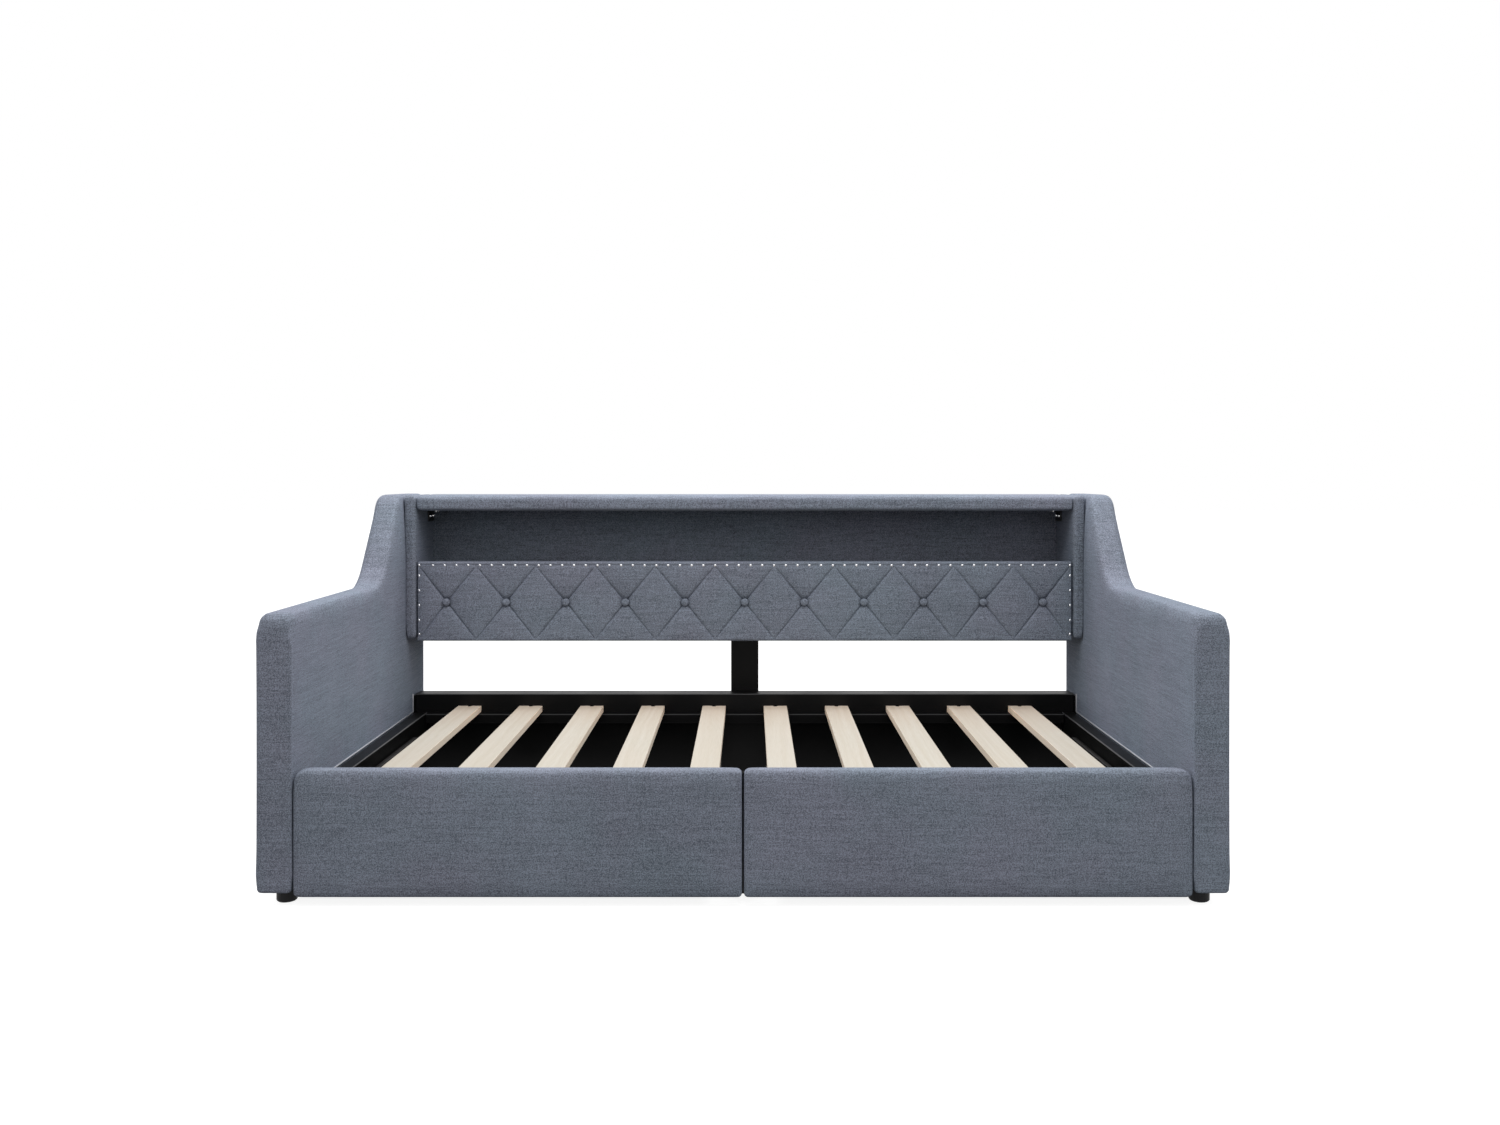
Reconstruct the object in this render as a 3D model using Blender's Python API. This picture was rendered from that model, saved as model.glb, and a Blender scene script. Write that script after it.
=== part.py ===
"""Storage daybed: two upholstered arms, a slatted bed frame, a shelf unit behind the bed with a tufted front
panel, and two drawers on casters. Metres, +Z up. The origin is on the floor under the centre of the whole
piece, and the front faces -Y. A height is measured from the floor, and a depth from the front plane of the
arms towards the back."""

import math

import bmesh
import bpy
from mathutils import Matrix, Vector

# Two pieces that touch keep this gap
FIT_GAP = 0.0003

# Arms: the rear third rises into a wing
SLEEPING_LENGTH = 1.958
ARM_THICKNESS = 0.076
ARM_DEPTH = 1.200
ARM_HEIGHT = 0.638
WING_HEIGHT = 0.880
WING_START = 0.730
WING_SLOPE = math.radians(51)
WING_TOP_RADIUS = 0.062
WING_FOOT_RADIUS = 0.150
ARM_CORNER_RADIUS = 0.026
ARM_BOTTOM_RADIUS = 0.004
ARM_OUTER_ROUNDING = 0.022
ARM_INNER_ROUNDING = 0.012
ARM_FRONT_ROUNDING = 0.004
ARM_BOTTOM_ROUNDING = 0.008
# The front edges are crisp from this far above the bottom to this far below the top
ARM_CRISP_RISE = 0.030
ARM_CRISP_DROP = 0.060

# Feet
FOOT_RADIUS = 0.0225
FOOT_HEIGHT = 0.0327
FOOT_BEVEL = 0.003
FOOT_SETBACK = 0.058
FOOT_FROM_INNER_FACE = 0.029

# Upholstered drawer fronts
DRAWER_FRONT_THICKNESS = 0.038
DRAWER_FRONT_BOTTOM = 0.0245
DRAWER_FRONT_HEIGHT = 0.2725
DRAWER_FRONT_OUTER_RADIUS = 0.020
DRAWER_FRONT_INNER_RADIUS = 0.010
DRAWER_FRONT_BOTTOM_RADIUS = 0.006
DRAWER_FRONT_TOP_ROUNDING = 0.009
DRAWER_FRONT_ROUNDING = 0.004
DRAWER_FRONT_CRISP_DROP = 0.045
DRAWER_CENTER_GAP = 0.0043
DRAWER_ARM_GAP = 0.002

# Bed frame
RAIL_ARM_GAP = 0.009
SPACER_INSET = 0.006
LEDGER_TOP = 0.2405
LEDGER_WIDTH = 0.036
LEDGER_HEIGHT = 0.027
FRONT_RAIL_THICKNESS = 0.025
FRONT_RAIL_LIP = 0.0445
REAR_RAIL_THICKNESS = 0.060
REAR_RAIL_LIP = 0.053
REAR_RAIL_FROM_ARM_END = 0.0977
SIDE_RAIL_WIDTH = 0.036
SIDE_RAIL_HEIGHT = 0.060
SIDE_SPACER_DROP = 0.015
RAIL_EDGE = 0.002
REAR_PANEL_THICKNESS = 0.016
REAR_PANEL_BOTTOM = 0.060
CENTER_LEG_WIDTH = 0.030
CENTER_LEG_THICKNESS = 0.020

# Slats
SLAT_COUNT = 10
SLAT_WIDTH = 0.068
SLAT_SIDE_SPACE = 0.090
SLAT_THICKNESS = 0.018
SLAT_END_GAP = 0.0008
SLAT_NOTCH_RADIUS = 0.0055
SLAT_NOTCH_DEPTH = 0.011
SLAT_NOTCH_STEPS = 5

# Shelf unit
SHELF_DEPTH = 0.225
SHELF_BOTTOM = 0.4627
SHELF_BELOW_WING = 0.003
SHELF_SIDE_THICKNESS = 0.0272
SHELF_BACK_THICKNESS = 0.022
SHELF_BACK_DROP = 0.007
SHELF_FLOOR_THICKNESS = 0.018
SHELF_CORNER_RADIUS = 0.012
SHELF_FRONT_ROUNDING = 0.010
SHELF_BACK_ROUNDING = 0.003
TOP_THICKNESS = 0.042
TOP_DROP = 0.001
TOP_CROWN = 0.003
TOP_CORNER_RADIUS = 0.012
TOP_UNDER_RADIUS = 0.007
TOP_END_ROUNDING = 0.006

# Tufted panel
PANEL_THICKNESS = 0.045
PANEL_HEIGHT = 0.2295
PANEL_DROP = 0.0052
PANEL_SIDE_GAP = 0.0035
PANEL_ROUNDING = 0.008
BUTTON_COUNT = 11
BUTTON_FROM_END = 0.083
BUTTON_RADIUS = 0.010
BUTTON_DOME = 0.005
BUTTON_DEPTH = 0.012
BUTTON_SIDES = 8
CREASE_FROM_EDGE = 0.01775
CREASE_DEPTH = 0.005
CREASE_START = 0.007
COLUMNS_PER_BUTTON = 6
# Rows between the panel's edge and a crease, and between two creases
PAD_ROW_SHARES = (0, 0.55)
DIAMOND_ROW_SHARES = (-0.55, 0, 0.55)
TUFT_FADE_SHARE = 0.6

# Corner brackets under the shelf's top
BRACKET_LEG = 0.035
BRACKET_WIDTH = 0.070
BRACKET_THICKNESS = 0.003
BRACKET_FROM_BACK = 0.015

# Post behind the rear rail
POST_WIDTH = 0.082
POST_DEPTH = 0.025

# Drawer boxes
BOARD_THICKNESS = 0.012
BOARD_EDGE = 0.001
DRAWER_REAR_CLEARANCE = 0.188
DRAWER_TOP_GAP = 0.010
DRAWER_RAIL_GAP = 0.004
DRAWER_LEG_GAP = 0.049
DRAWER_BACK_HEIGHT = 0.040

# Casters
WHEEL_RADIUS = 0.0225
WHEEL_WIDTH = 0.016
WHEEL_BEVEL = 0.002
WHEEL_SIDES = 20
WHEEL_TOP_GAP = 0.0097
WHEEL_SIDE_GAP = 0.001
AXLE_RADIUS = 0.003
AXLE_CLEARANCE = 0.0003
AXLE_OVERHANG = 0.001
AXLE_SIDES = 10
CHEEK_THICKNESS = 0.0025
CHEEK_BELOW_AXLE = 0.008
CASTER_PLATE_THICKNESS = 0.003
CASTER_PLATE_WIDTH = 0.040
CASTER_LENGTH = 0.036
CASTER_FROM_SIDE = 0.060
CASTER_FROM_FRONT = 0.112
CASTER_FROM_BACK = 0.070

# How finely round shapes are divided
ROUNDING_STEPS = 3
CORNER_STEPS = 3
BEND_STEPS = 5
FOOT_SIDES = 20
SMOOTH_ANGLE = math.radians(38)
MERGE_DISTANCE = 0.00001

# Places worked out from the sizes above
OVERALL_DEPTH = ARM_DEPTH + FIT_GAP + SHELF_BACK_THICKNESS
FRONT_Y = -OVERALL_DEPTH / 2
ARM_INNER_X = SLEEPING_LENGTH / 2
ARM_BOTTOM = FOOT_HEIGHT + FIT_GAP
RAIL_END_X = ARM_INNER_X - RAIL_ARM_GAP
SIDE_RAIL_INNER_X = RAIL_END_X - SIDE_RAIL_WIDTH
FRONT_RAIL_DEPTH = DRAWER_FRONT_THICKNESS + FIT_GAP
LEDGER_START_DEPTH = FRONT_RAIL_DEPTH + FRONT_RAIL_THICKNESS
REAR_RAIL_DEPTH = ARM_DEPTH - REAR_RAIL_FROM_ARM_END - REAR_RAIL_THICKNESS
RAIL_BOTTOM = LEDGER_TOP - LEDGER_HEIGHT
SLAT_PITCH = 2 * (SIDE_RAIL_INNER_X - SLAT_SIDE_SPACE - SLAT_WIDTH / 2) / (SLAT_COUNT - 1)
SHELF_FRONT = ARM_DEPTH - SHELF_DEPTH
SHELF_TOP = WING_HEIGHT - SHELF_BELOW_WING
SHELF_SIDE_OUTER_X = ARM_INNER_X - FIT_GAP
SHELF_SIDE_INNER_X = SHELF_SIDE_OUTER_X - SHELF_SIDE_THICKNESS
TOP_EDGE = SHELF_TOP - TOP_DROP
TOP_UNDERSIDE = TOP_EDGE - TOP_THICKNESS
PANEL_HALF_WIDTH = SHELF_SIDE_INNER_X - PANEL_SIDE_GAP
BUTTON_PITCH = 2 * (PANEL_HALF_WIDTH - BUTTON_FROM_END) / (BUTTON_COUNT - 1)
CREASE_APEX = PANEL_HEIGHT / 2 - CREASE_FROM_EDGE
CASTER_TOP = 2 * WHEEL_RADIUS + WHEEL_TOP_GAP + CASTER_PLATE_THICKNESS
DRAWER_BOTTOM = CASTER_TOP + FIT_GAP


def clear_scene():
    for obj in list(bpy.data.objects):
        bpy.data.objects.remove(obj, do_unlink=True)


def make_material(name, colour, roughness, metallic=0.0):
    material = bpy.data.materials.new(name)
    material.use_nodes = True
    shader = material.node_tree.nodes["Principled BSDF"]
    shader.inputs["Base Color"].default_value = (*colour, 1)
    shader.inputs["Roughness"].default_value = roughness
    shader.inputs["Metallic"].default_value = metallic
    return material


def fabric():
    return make_material("slate fabric", (0.135, 0.150, 0.180), 0.95)


def pale_wood():
    return make_material("pale wood", (0.640, 0.590, 0.490), 0.60)


def black_paint():
    return make_material("black paint", (0.010, 0.010, 0.010), 0.45)


def black_plastic():
    return make_material("black plastic", (0.012, 0.012, 0.013), 0.50)


def grey_rubber():
    return make_material("grey rubber", (0.060, 0.060, 0.062), 0.80)


def bare_board():
    return make_material("pale board", (0.480, 0.400, 0.300), 0.80)


def from_front(depth):
    return FRONT_Y + depth


def finish_mesh(bm, name):
    """The closed mesh in bm, smooth across its small angles."""
    bmesh.ops.recalc_face_normals(bm, faces=bm.faces)
    mesh = bpy.data.meshes.new(name)
    bm.to_mesh(mesh)
    bm.free()
    mesh.shade_smooth()
    mesh.set_sharp_from_angle(angle=SMOOTH_ANGLE)
    return mesh


def add_object(name, mesh, material, location=(0, 0, 0)):
    """A new object for the mesh. Copies of a piece share their mesh and its one material."""
    if not mesh.materials:
        mesh.materials.append(material)
    obj = bpy.data.objects.new(name, mesh)
    obj.location = location
    bpy.context.scene.collection.objects.link(obj)
    return obj


def add_bevel(obj, width):
    bevel = obj.modifiers.new("edges", "BEVEL")
    bevel.width = width
    bevel.segments = 1
    bevel.limit_method = "ANGLE"
    bevel.angle_limit = SMOOTH_ANGLE


def add_union(obj, other):
    union = obj.modifiers.new("joined", "BOOLEAN")
    union.operation = "UNION"
    union.solver = "EXACT"
    union.object = other
    other.hide_render = True
    other.display_type = "WIRE"


def block(low, high):
    """A box mesh between two corners, about its own centre, and that centre."""
    low = Vector(low)
    high = Vector(high)
    bm = bmesh.new()
    bmesh.ops.create_cube(bm, size=1)
    bmesh.ops.scale(bm, vec=high - low, verts=bm.verts)
    return bm, (low + high) / 2


def board(name, low, high, material, edge=BOARD_EDGE):
    bm, centre = block(low, high)
    obj = add_object(name, finish_mesh(bm, name), material, centre)
    add_bevel(obj, edge)
    return obj


def bar(name, outline, start, end, place, material, edge):
    """The flat outline of (a, b) points, extruded from start to end.

    place(a, b, c) is a point of the part."""
    bm = bmesh.new()
    face = bm.faces.new([bm.verts.new(place(a, b, start)) for a, b in outline])
    grown = bmesh.ops.extrude_face_region(bm, geom=[face])["geom"]
    shift = Vector(place(0, 0, end)) - Vector(place(0, 0, start))
    bmesh.ops.translate(bm, vec=shift, verts=[item for item in grown if isinstance(item, bmesh.types.BMVert)])
    obj = add_object(name, finish_mesh(bm, name), material)
    if edge:
        add_bevel(obj, edge)
    return obj


def rounded_outline(corners):
    """The points of a closed anticlockwise outline whose corners are arcs.

    A corner is (a, b, radius, steps, roundings), and a point on a straight side is one with neither radius
    nor steps. Each result is (point, outward normal, roundings), where
    roundings are the edge radii of the slab's low and high faces there."""
    points = []
    for index, (a, b, radius, steps, roundings) in enumerate(corners):
        corner = Vector((a, b))
        arriving = (corner - Vector(corners[index - 1][:2])).normalized()
        leaving = (Vector(corners[(index + 1) % len(corners)][:2]) - corner).normalized()
        angle = arriving.angle(leaving)
        side = 1 if arriving.x * leaving.y > arriving.y * leaving.x else -1
        normal = Vector((arriving.y, -arriving.x))
        start = corner - arriving * radius * math.tan(angle / 2)
        centre = start - side * radius * normal
        for step in range(steps + 1):
            outward = Matrix.Rotation(side * angle * step / max(steps, 1), 2) @ normal
            points.append((centre + side * radius * outward, outward, roundings))
    return points


def padded_slab(name, corners, low, high, place, material):
    """An upholstered slab with rounded edges, between the planes c = low and c = high.

    corners are rounded_outline's, in a and b, and place(a, b, c) is a point of the part."""
    outline = rounded_outline(corners)
    quarter = [math.pi / 2 * step / ROUNDING_STEPS for step in range(ROUNDING_STEPS + 1)]
    levels = [(low, 1, 0, angle) for angle in quarter]
    levels += [(high, -1, 1, angle) for angle in reversed(quarter)]
    bm = bmesh.new()
    rings = []
    for plane, inward, which, angle in levels:
        ring = []
        for point, normal, roundings in outline:
            inset = roundings[which] * (1 - math.sin(angle))
            depth = roundings[which] * (1 - math.cos(angle))
            a, b = point - normal * inset
            ring.append(bm.verts.new(place(a, b, plane + inward * depth)))
        rings.append(ring)
    for lower, upper in zip(rings, rings[1:]):
        for i in range(len(outline)):
            bm.faces.new((lower[i - 1], lower[i], upper[i], upper[i - 1]))
    bm.faces.new(rings[0])
    bm.faces.new(rings[-1])
    return add_object(name, finish_mesh(bm, name), material)


def rectangle(low, high, radius, roundings):
    """The four corners of an upright rectangle, as rounded_outline takes them."""
    (left, bottom), (right, top) = low, high
    places = ((left, bottom), (right, bottom), (right, top), (left, top))
    return [(a, b, radius, CORNER_STEPS, roundings) for a, b in places]


def turned_mesh(name, profile, sides, closed):
    """The mesh of a profile of (radius, along) points spun about X."""
    bm = bmesh.new()
    points = [bm.verts.new((along, radius, 0)) for radius, along in profile]
    edges = [bm.edges.new(pair) for pair in zip(points, points[1:])]
    if closed:
        edges.append(bm.edges.new((points[-1], points[0])))
    bmesh.ops.spin(
        bm,
        geom=points + edges,
        cent=(0, 0, 0),
        axis=(1, 0, 0),
        angle=2 * math.pi,
        steps=sides,
        use_merge=True,
    )
    bmesh.ops.remove_doubles(bm, verts=bm.verts, dist=MERGE_DISTANCE)
    return finish_mesh(bm, name)


def make_arm(side, name, material):
    """One arm. side is -1 on the left and 1 on the right."""
    bottom = (ARM_FRONT_ROUNDING, ARM_BOTTOM_ROUNDING)
    upper = (ARM_INNER_ROUNDING, ARM_OUTER_ROUNDING)
    crisp = (ARM_FRONT_ROUNDING, ARM_FRONT_ROUNDING)
    wing_edge = WING_START + (WING_HEIGHT - ARM_HEIGHT) / math.tan(WING_SLOPE)
    corners = [
        (from_front(0), ARM_BOTTOM, ARM_BOTTOM_RADIUS, CORNER_STEPS, bottom),
        (from_front(ARM_DEPTH), ARM_BOTTOM, ARM_BOTTOM_RADIUS, CORNER_STEPS, bottom),
        (from_front(ARM_DEPTH), WING_HEIGHT, ARM_CORNER_RADIUS, CORNER_STEPS, upper),
        (from_front(wing_edge), WING_HEIGHT, WING_TOP_RADIUS, BEND_STEPS, upper),
        (from_front(WING_START), ARM_HEIGHT, WING_FOOT_RADIUS, BEND_STEPS, upper),
        (from_front(0), ARM_HEIGHT, ARM_CORNER_RADIUS, CORNER_STEPS, upper),
        (from_front(0), ARM_HEIGHT - ARM_CRISP_DROP, 0, 0, crisp),
        (from_front(0), ARM_BOTTOM + ARM_CRISP_RISE, 0, 0, crisp),
    ]
    padded_slab(
        name, corners, ARM_INNER_X, ARM_INNER_X + ARM_THICKNESS, lambda a, b, c: (side * c, a, b), material
    )


def make_feet(material):
    """Four round feet, a pair under each arm."""
    profile = [
        (0, 0),
        (FOOT_RADIUS - FOOT_BEVEL, 0),
        (FOOT_RADIUS, FOOT_BEVEL),
        (FOOT_RADIUS, FOOT_HEIGHT),
        (0, FOOT_HEIGHT),
    ]
    mesh = turned_mesh("foot", profile, FOOT_SIDES, closed=False)
    mesh.transform(Matrix.Rotation(-math.pi / 2, 4, "Y"))
    x = ARM_INNER_X + FOOT_FROM_INNER_FACE
    for side, side_name in ((-1, "left"), (1, "right")):
        for depth, end_name in ((FOOT_SETBACK, "front"), (ARM_DEPTH - FOOT_SETBACK, "rear")):
            add_object(f"{side_name}_{end_name}_foot", mesh, material, (side * x, from_front(depth), 0))


def make_cross_rail(name, depth, thickness, lip, material):
    """A rail from arm to arm, with a spacer block on each end that meets the arm."""
    low = (-RAIL_END_X, from_front(depth), RAIL_BOTTOM)
    high = (RAIL_END_X, from_front(depth + thickness), LEDGER_TOP + lip)
    bm, centre = block(low, high)
    ends = [face for face in bm.faces if abs(face.normal.x) > abs(face.normal.y) + abs(face.normal.z)]
    bmesh.ops.inset_individual(bm, faces=ends, thickness=SPACER_INSET)
    for face in bmesh.ops.extrude_discrete_faces(bm, faces=ends)["faces"]:
        bmesh.ops.translate(bm, vec=face.normal * (RAIL_ARM_GAP - FIT_GAP), verts=face.verts)
    obj = add_object(name, finish_mesh(bm, name), material, centre)
    add_bevel(obj, RAIL_EDGE)


def make_side_rail(side, name, material):
    """A side rail whose top carries the bed's edge, with a lower spacer strip that meets the arm."""
    outer = ARM_INNER_X - FIT_GAP
    bottom = LEDGER_TOP - SIDE_RAIL_HEIGHT
    outline = [
        (SIDE_RAIL_INNER_X, bottom),
        (outer, bottom),
        (outer, LEDGER_TOP - SIDE_SPACER_DROP),
        (RAIL_END_X, LEDGER_TOP - SIDE_SPACER_DROP),
        (RAIL_END_X, LEDGER_TOP),
        (SIDE_RAIL_INNER_X, LEDGER_TOP),
    ]
    start = from_front(LEDGER_START_DEPTH + FIT_GAP)
    end = from_front(REAR_RAIL_DEPTH - FIT_GAP)
    bar(name, outline, start, end, lambda a, b, c: (side * a, c, b), material, RAIL_EDGE)


def make_ledger(name, depth, material):
    reach = SIDE_RAIL_INNER_X - FIT_GAP
    low = (-reach, from_front(depth), RAIL_BOTTOM)
    high = (reach, from_front(depth + LEDGER_WIDTH), LEDGER_TOP)
    board(name, low, high, material, RAIL_EDGE)


def make_frame(material):
    make_cross_rail("front_rail", FRONT_RAIL_DEPTH, FRONT_RAIL_THICKNESS, FRONT_RAIL_LIP, material)
    make_cross_rail("rear_rail", REAR_RAIL_DEPTH, REAR_RAIL_THICKNESS, REAR_RAIL_LIP, material)
    make_side_rail(-1, "left_side_rail", material)
    make_side_rail(1, "right_side_rail", material)
    make_ledger("front_ledger", LEDGER_START_DEPTH + FIT_GAP, material)
    make_ledger("rear_ledger", REAR_RAIL_DEPTH - FIT_GAP - LEDGER_WIDTH, material)
    # The panel under the rear rail closes the space of the drawers
    panel_reach = ARM_INNER_X - FIT_GAP
    board(
        "rear_panel",
        (-panel_reach, from_front(REAR_RAIL_DEPTH), REAR_PANEL_BOTTOM),
        (panel_reach, from_front(REAR_RAIL_DEPTH + REAR_PANEL_THICKNESS), RAIL_BOTTOM - FIT_GAP),
        material,
        RAIL_EDGE,
    )
    # The leg stands at the back of the front ledger, between the drawers
    leg_front = LEDGER_START_DEPTH + FIT_GAP + LEDGER_WIDTH + FIT_GAP
    board(
        "center_leg",
        (-CENTER_LEG_WIDTH / 2, from_front(leg_front), 0),
        (CENTER_LEG_WIDTH / 2, from_front(leg_front + CENTER_LEG_THICKNESS), LEDGER_TOP),
        material,
        RAIL_EDGE,
    )
    post_front = REAR_RAIL_DEPTH + REAR_RAIL_THICKNESS + FIT_GAP
    board(
        "center_post",
        (-POST_WIDTH / 2, from_front(post_front), 0),
        (POST_WIDTH / 2, from_front(post_front + POST_DEPTH), SHELF_BOTTOM - FIT_GAP),
        material,
        RAIL_EDGE,
    )


def slat_outline(length):
    """A slat from above: a long rectangle with a round-ended notch in the middle of each end."""
    half = length / 2
    centre = half - SLAT_NOTCH_DEPTH + SLAT_NOTCH_RADIUS
    outline = []
    for end in (1, -1):
        outline.append((-end * SLAT_WIDTH / 2, end * half))
        outline.append((-end * SLAT_NOTCH_RADIUS, end * half))
        for step in range(SLAT_NOTCH_STEPS + 1):
            angle = math.pi * step / SLAT_NOTCH_STEPS
            across = -end * SLAT_NOTCH_RADIUS * math.cos(angle)
            outline.append((across, end * (centre - SLAT_NOTCH_RADIUS * math.sin(angle))))
        outline.append((end * SLAT_NOTCH_RADIUS, end * half))
        outline.append((end * SLAT_WIDTH / 2, end * half))
    return outline


def make_slats(material):
    """Slats from the front rail to the rear rail, evenly spaced about the middle."""
    start = LEDGER_START_DEPTH + SLAT_END_GAP
    end = REAR_RAIL_DEPTH - SLAT_END_GAP
    bottom = LEDGER_TOP + FIT_GAP
    first = bar(
        "slat_01", slat_outline(end - start), 0, SLAT_THICKNESS, lambda a, b, c: (a, b, c), material, 0
    )
    for index in range(SLAT_COUNT):
        x = (index - (SLAT_COUNT - 1) / 2) * SLAT_PITCH
        place = (x, from_front((start + end) / 2), bottom)
        if index == 0:
            first.location = place
        else:
            add_object(f"slat_{index + 1:02d}", first.data, material, place)


def make_shelf_side(side, name, material):
    roundings = (SHELF_FRONT_ROUNDING, SHELF_BACK_ROUNDING)
    corners = rectangle(
        (from_front(SHELF_FRONT), SHELF_BOTTOM),
        (from_front(ARM_DEPTH), SHELF_TOP),
        SHELF_CORNER_RADIUS,
        roundings,
    )
    padded_slab(
        name, corners, SHELF_SIDE_INNER_X, SHELF_SIDE_OUTER_X, lambda a, b, c: (side * c, a, b), material
    )


def make_shelf_back(material):
    """The back panel, which covers the rear edges of the side panels."""
    corners = rectangle(
        (-SHELF_SIDE_OUTER_X, SHELF_BOTTOM),
        (SHELF_SIDE_OUTER_X, SHELF_TOP - SHELF_BACK_DROP),
        SHELF_CORNER_RADIUS,
        (SHELF_BACK_ROUNDING, SHELF_FRONT_ROUNDING),
    )
    front = from_front(ARM_DEPTH + FIT_GAP)
    padded_slab(
        "shelf_back", corners, front, front + SHELF_BACK_THICKNESS, lambda a, b, c: (a, c, b), material
    )


def make_shelf_top(material):
    """The padded top board, crowned from front to back, between the side panels."""
    front = from_front(SHELF_FRONT)
    back = from_front(ARM_DEPTH)
    ends = (TOP_END_ROUNDING, TOP_END_ROUNDING)
    corners = [
        (front, TOP_UNDERSIDE, TOP_UNDER_RADIUS, CORNER_STEPS, ends),
        (back, TOP_UNDERSIDE, TOP_UNDER_RADIUS, CORNER_STEPS, ends),
        (back, TOP_EDGE, TOP_CORNER_RADIUS, CORNER_STEPS, ends),
        ((front + back) / 2, TOP_EDGE + TOP_CROWN, TOP_CORNER_RADIUS, 1, ends),
        (front, TOP_EDGE, TOP_CORNER_RADIUS, CORNER_STEPS, ends),
    ]
    reach = SHELF_SIDE_INNER_X - FIT_GAP
    padded_slab("shelf_top", corners, -reach, reach, lambda a, b, c: (c, a, b), material)


def make_shelf_floor(material):
    front = SHELF_FRONT + PANEL_THICKNESS + FIT_GAP
    reach = SHELF_SIDE_INNER_X - FIT_GAP
    board(
        "shelf_floor",
        (-reach, from_front(front), SHELF_BOTTOM),
        (reach, from_front(ARM_DEPTH), SHELF_BOTTOM + SHELF_FLOOR_THICKNESS),
        material,
    )


def make_bracket(side, name, material):
    """An L bracket in the corner between a side panel and the top board."""
    wall = SHELF_SIDE_INNER_X - FIT_GAP
    ceiling = TOP_UNDERSIDE - FIT_GAP
    outline = [
        (wall, ceiling - BRACKET_LEG),
        (wall, ceiling),
        (wall - BRACKET_LEG, ceiling),
        (wall - BRACKET_LEG, ceiling - BRACKET_THICKNESS),
        (wall - BRACKET_THICKNESS, ceiling - BRACKET_THICKNESS),
        (wall - BRACKET_THICKNESS, ceiling - BRACKET_LEG),
    ]
    end = from_front(ARM_DEPTH - BRACKET_FROM_BACK)
    bar(name, outline, end - BRACKET_WIDTH, end, lambda a, b, c: (side * a, c, b), material, 0)


def faded(share):
    """1 at share 0, falling smoothly to 0 at share 1."""
    share = min(max(share, 0), 1)
    return 1 - share * share * (3 - 2 * share)


def tuft_column(x):
    """The face of the tufted panel at x: (height from the middle, depth behind the front plane) up the panel.

    Creases run from each button to the points midway between the buttons, near the panel's edges."""
    half_pitch = BUTTON_PITCH / 2
    nearest = min(max(round(x / BUTTON_PITCH), -(BUTTON_COUNT // 2)), BUTTON_COUNT // 2)
    away_share = min(abs(x - nearest * BUTTON_PITCH) / half_pitch, 1)
    edge = PANEL_HEIGHT / 2 - PANEL_ROUNDING
    crease = CREASE_START + (CREASE_APEX - CREASE_START) * away_share
    crease_depth = CREASE_DEPTH + (BUTTON_DEPTH - CREASE_DEPTH) * faded(away_share / TUFT_FADE_SHARE)
    pit = BUTTON_DEPTH * faded(away_share / TUFT_FADE_SHARE)
    column = []
    for share in PAD_ROW_SHARES:
        column.append((-edge + (edge - crease) * share, 0))
    column.append((-crease, crease_depth))
    for share in DIAMOND_ROW_SHARES:
        column.append((crease * share, pit))
    column.append((crease, crease_depth))
    for share in reversed(PAD_ROW_SHARES):
        column.append((edge - (edge - crease) * share, 0))
    return column


def tuft_button_meshes():
    """The domes of all buttons as one mesh, to be joined to the panel."""
    bm = bmesh.new()
    size = Vector((BUTTON_RADIUS, BUTTON_DOME, BUTTON_RADIUS))
    for index in range(BUTTON_COUNT):
        x = (index - (BUTTON_COUNT - 1) / 2) * BUTTON_PITCH
        dome = bmesh.ops.create_uvsphere(bm, u_segments=BUTTON_SIDES, v_segments=BUTTON_SIDES // 2, radius=1)
        turn = Matrix.Rotation(math.pi / 2, 4, "X")
        move = Matrix.Translation((x, BUTTON_DEPTH, 0))
        bmesh.ops.transform(bm, matrix=move @ Matrix.Diagonal(size).to_4x4() @ turn, verts=dome["verts"])
    return finish_mesh(bm, "tuft_buttons")


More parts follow.
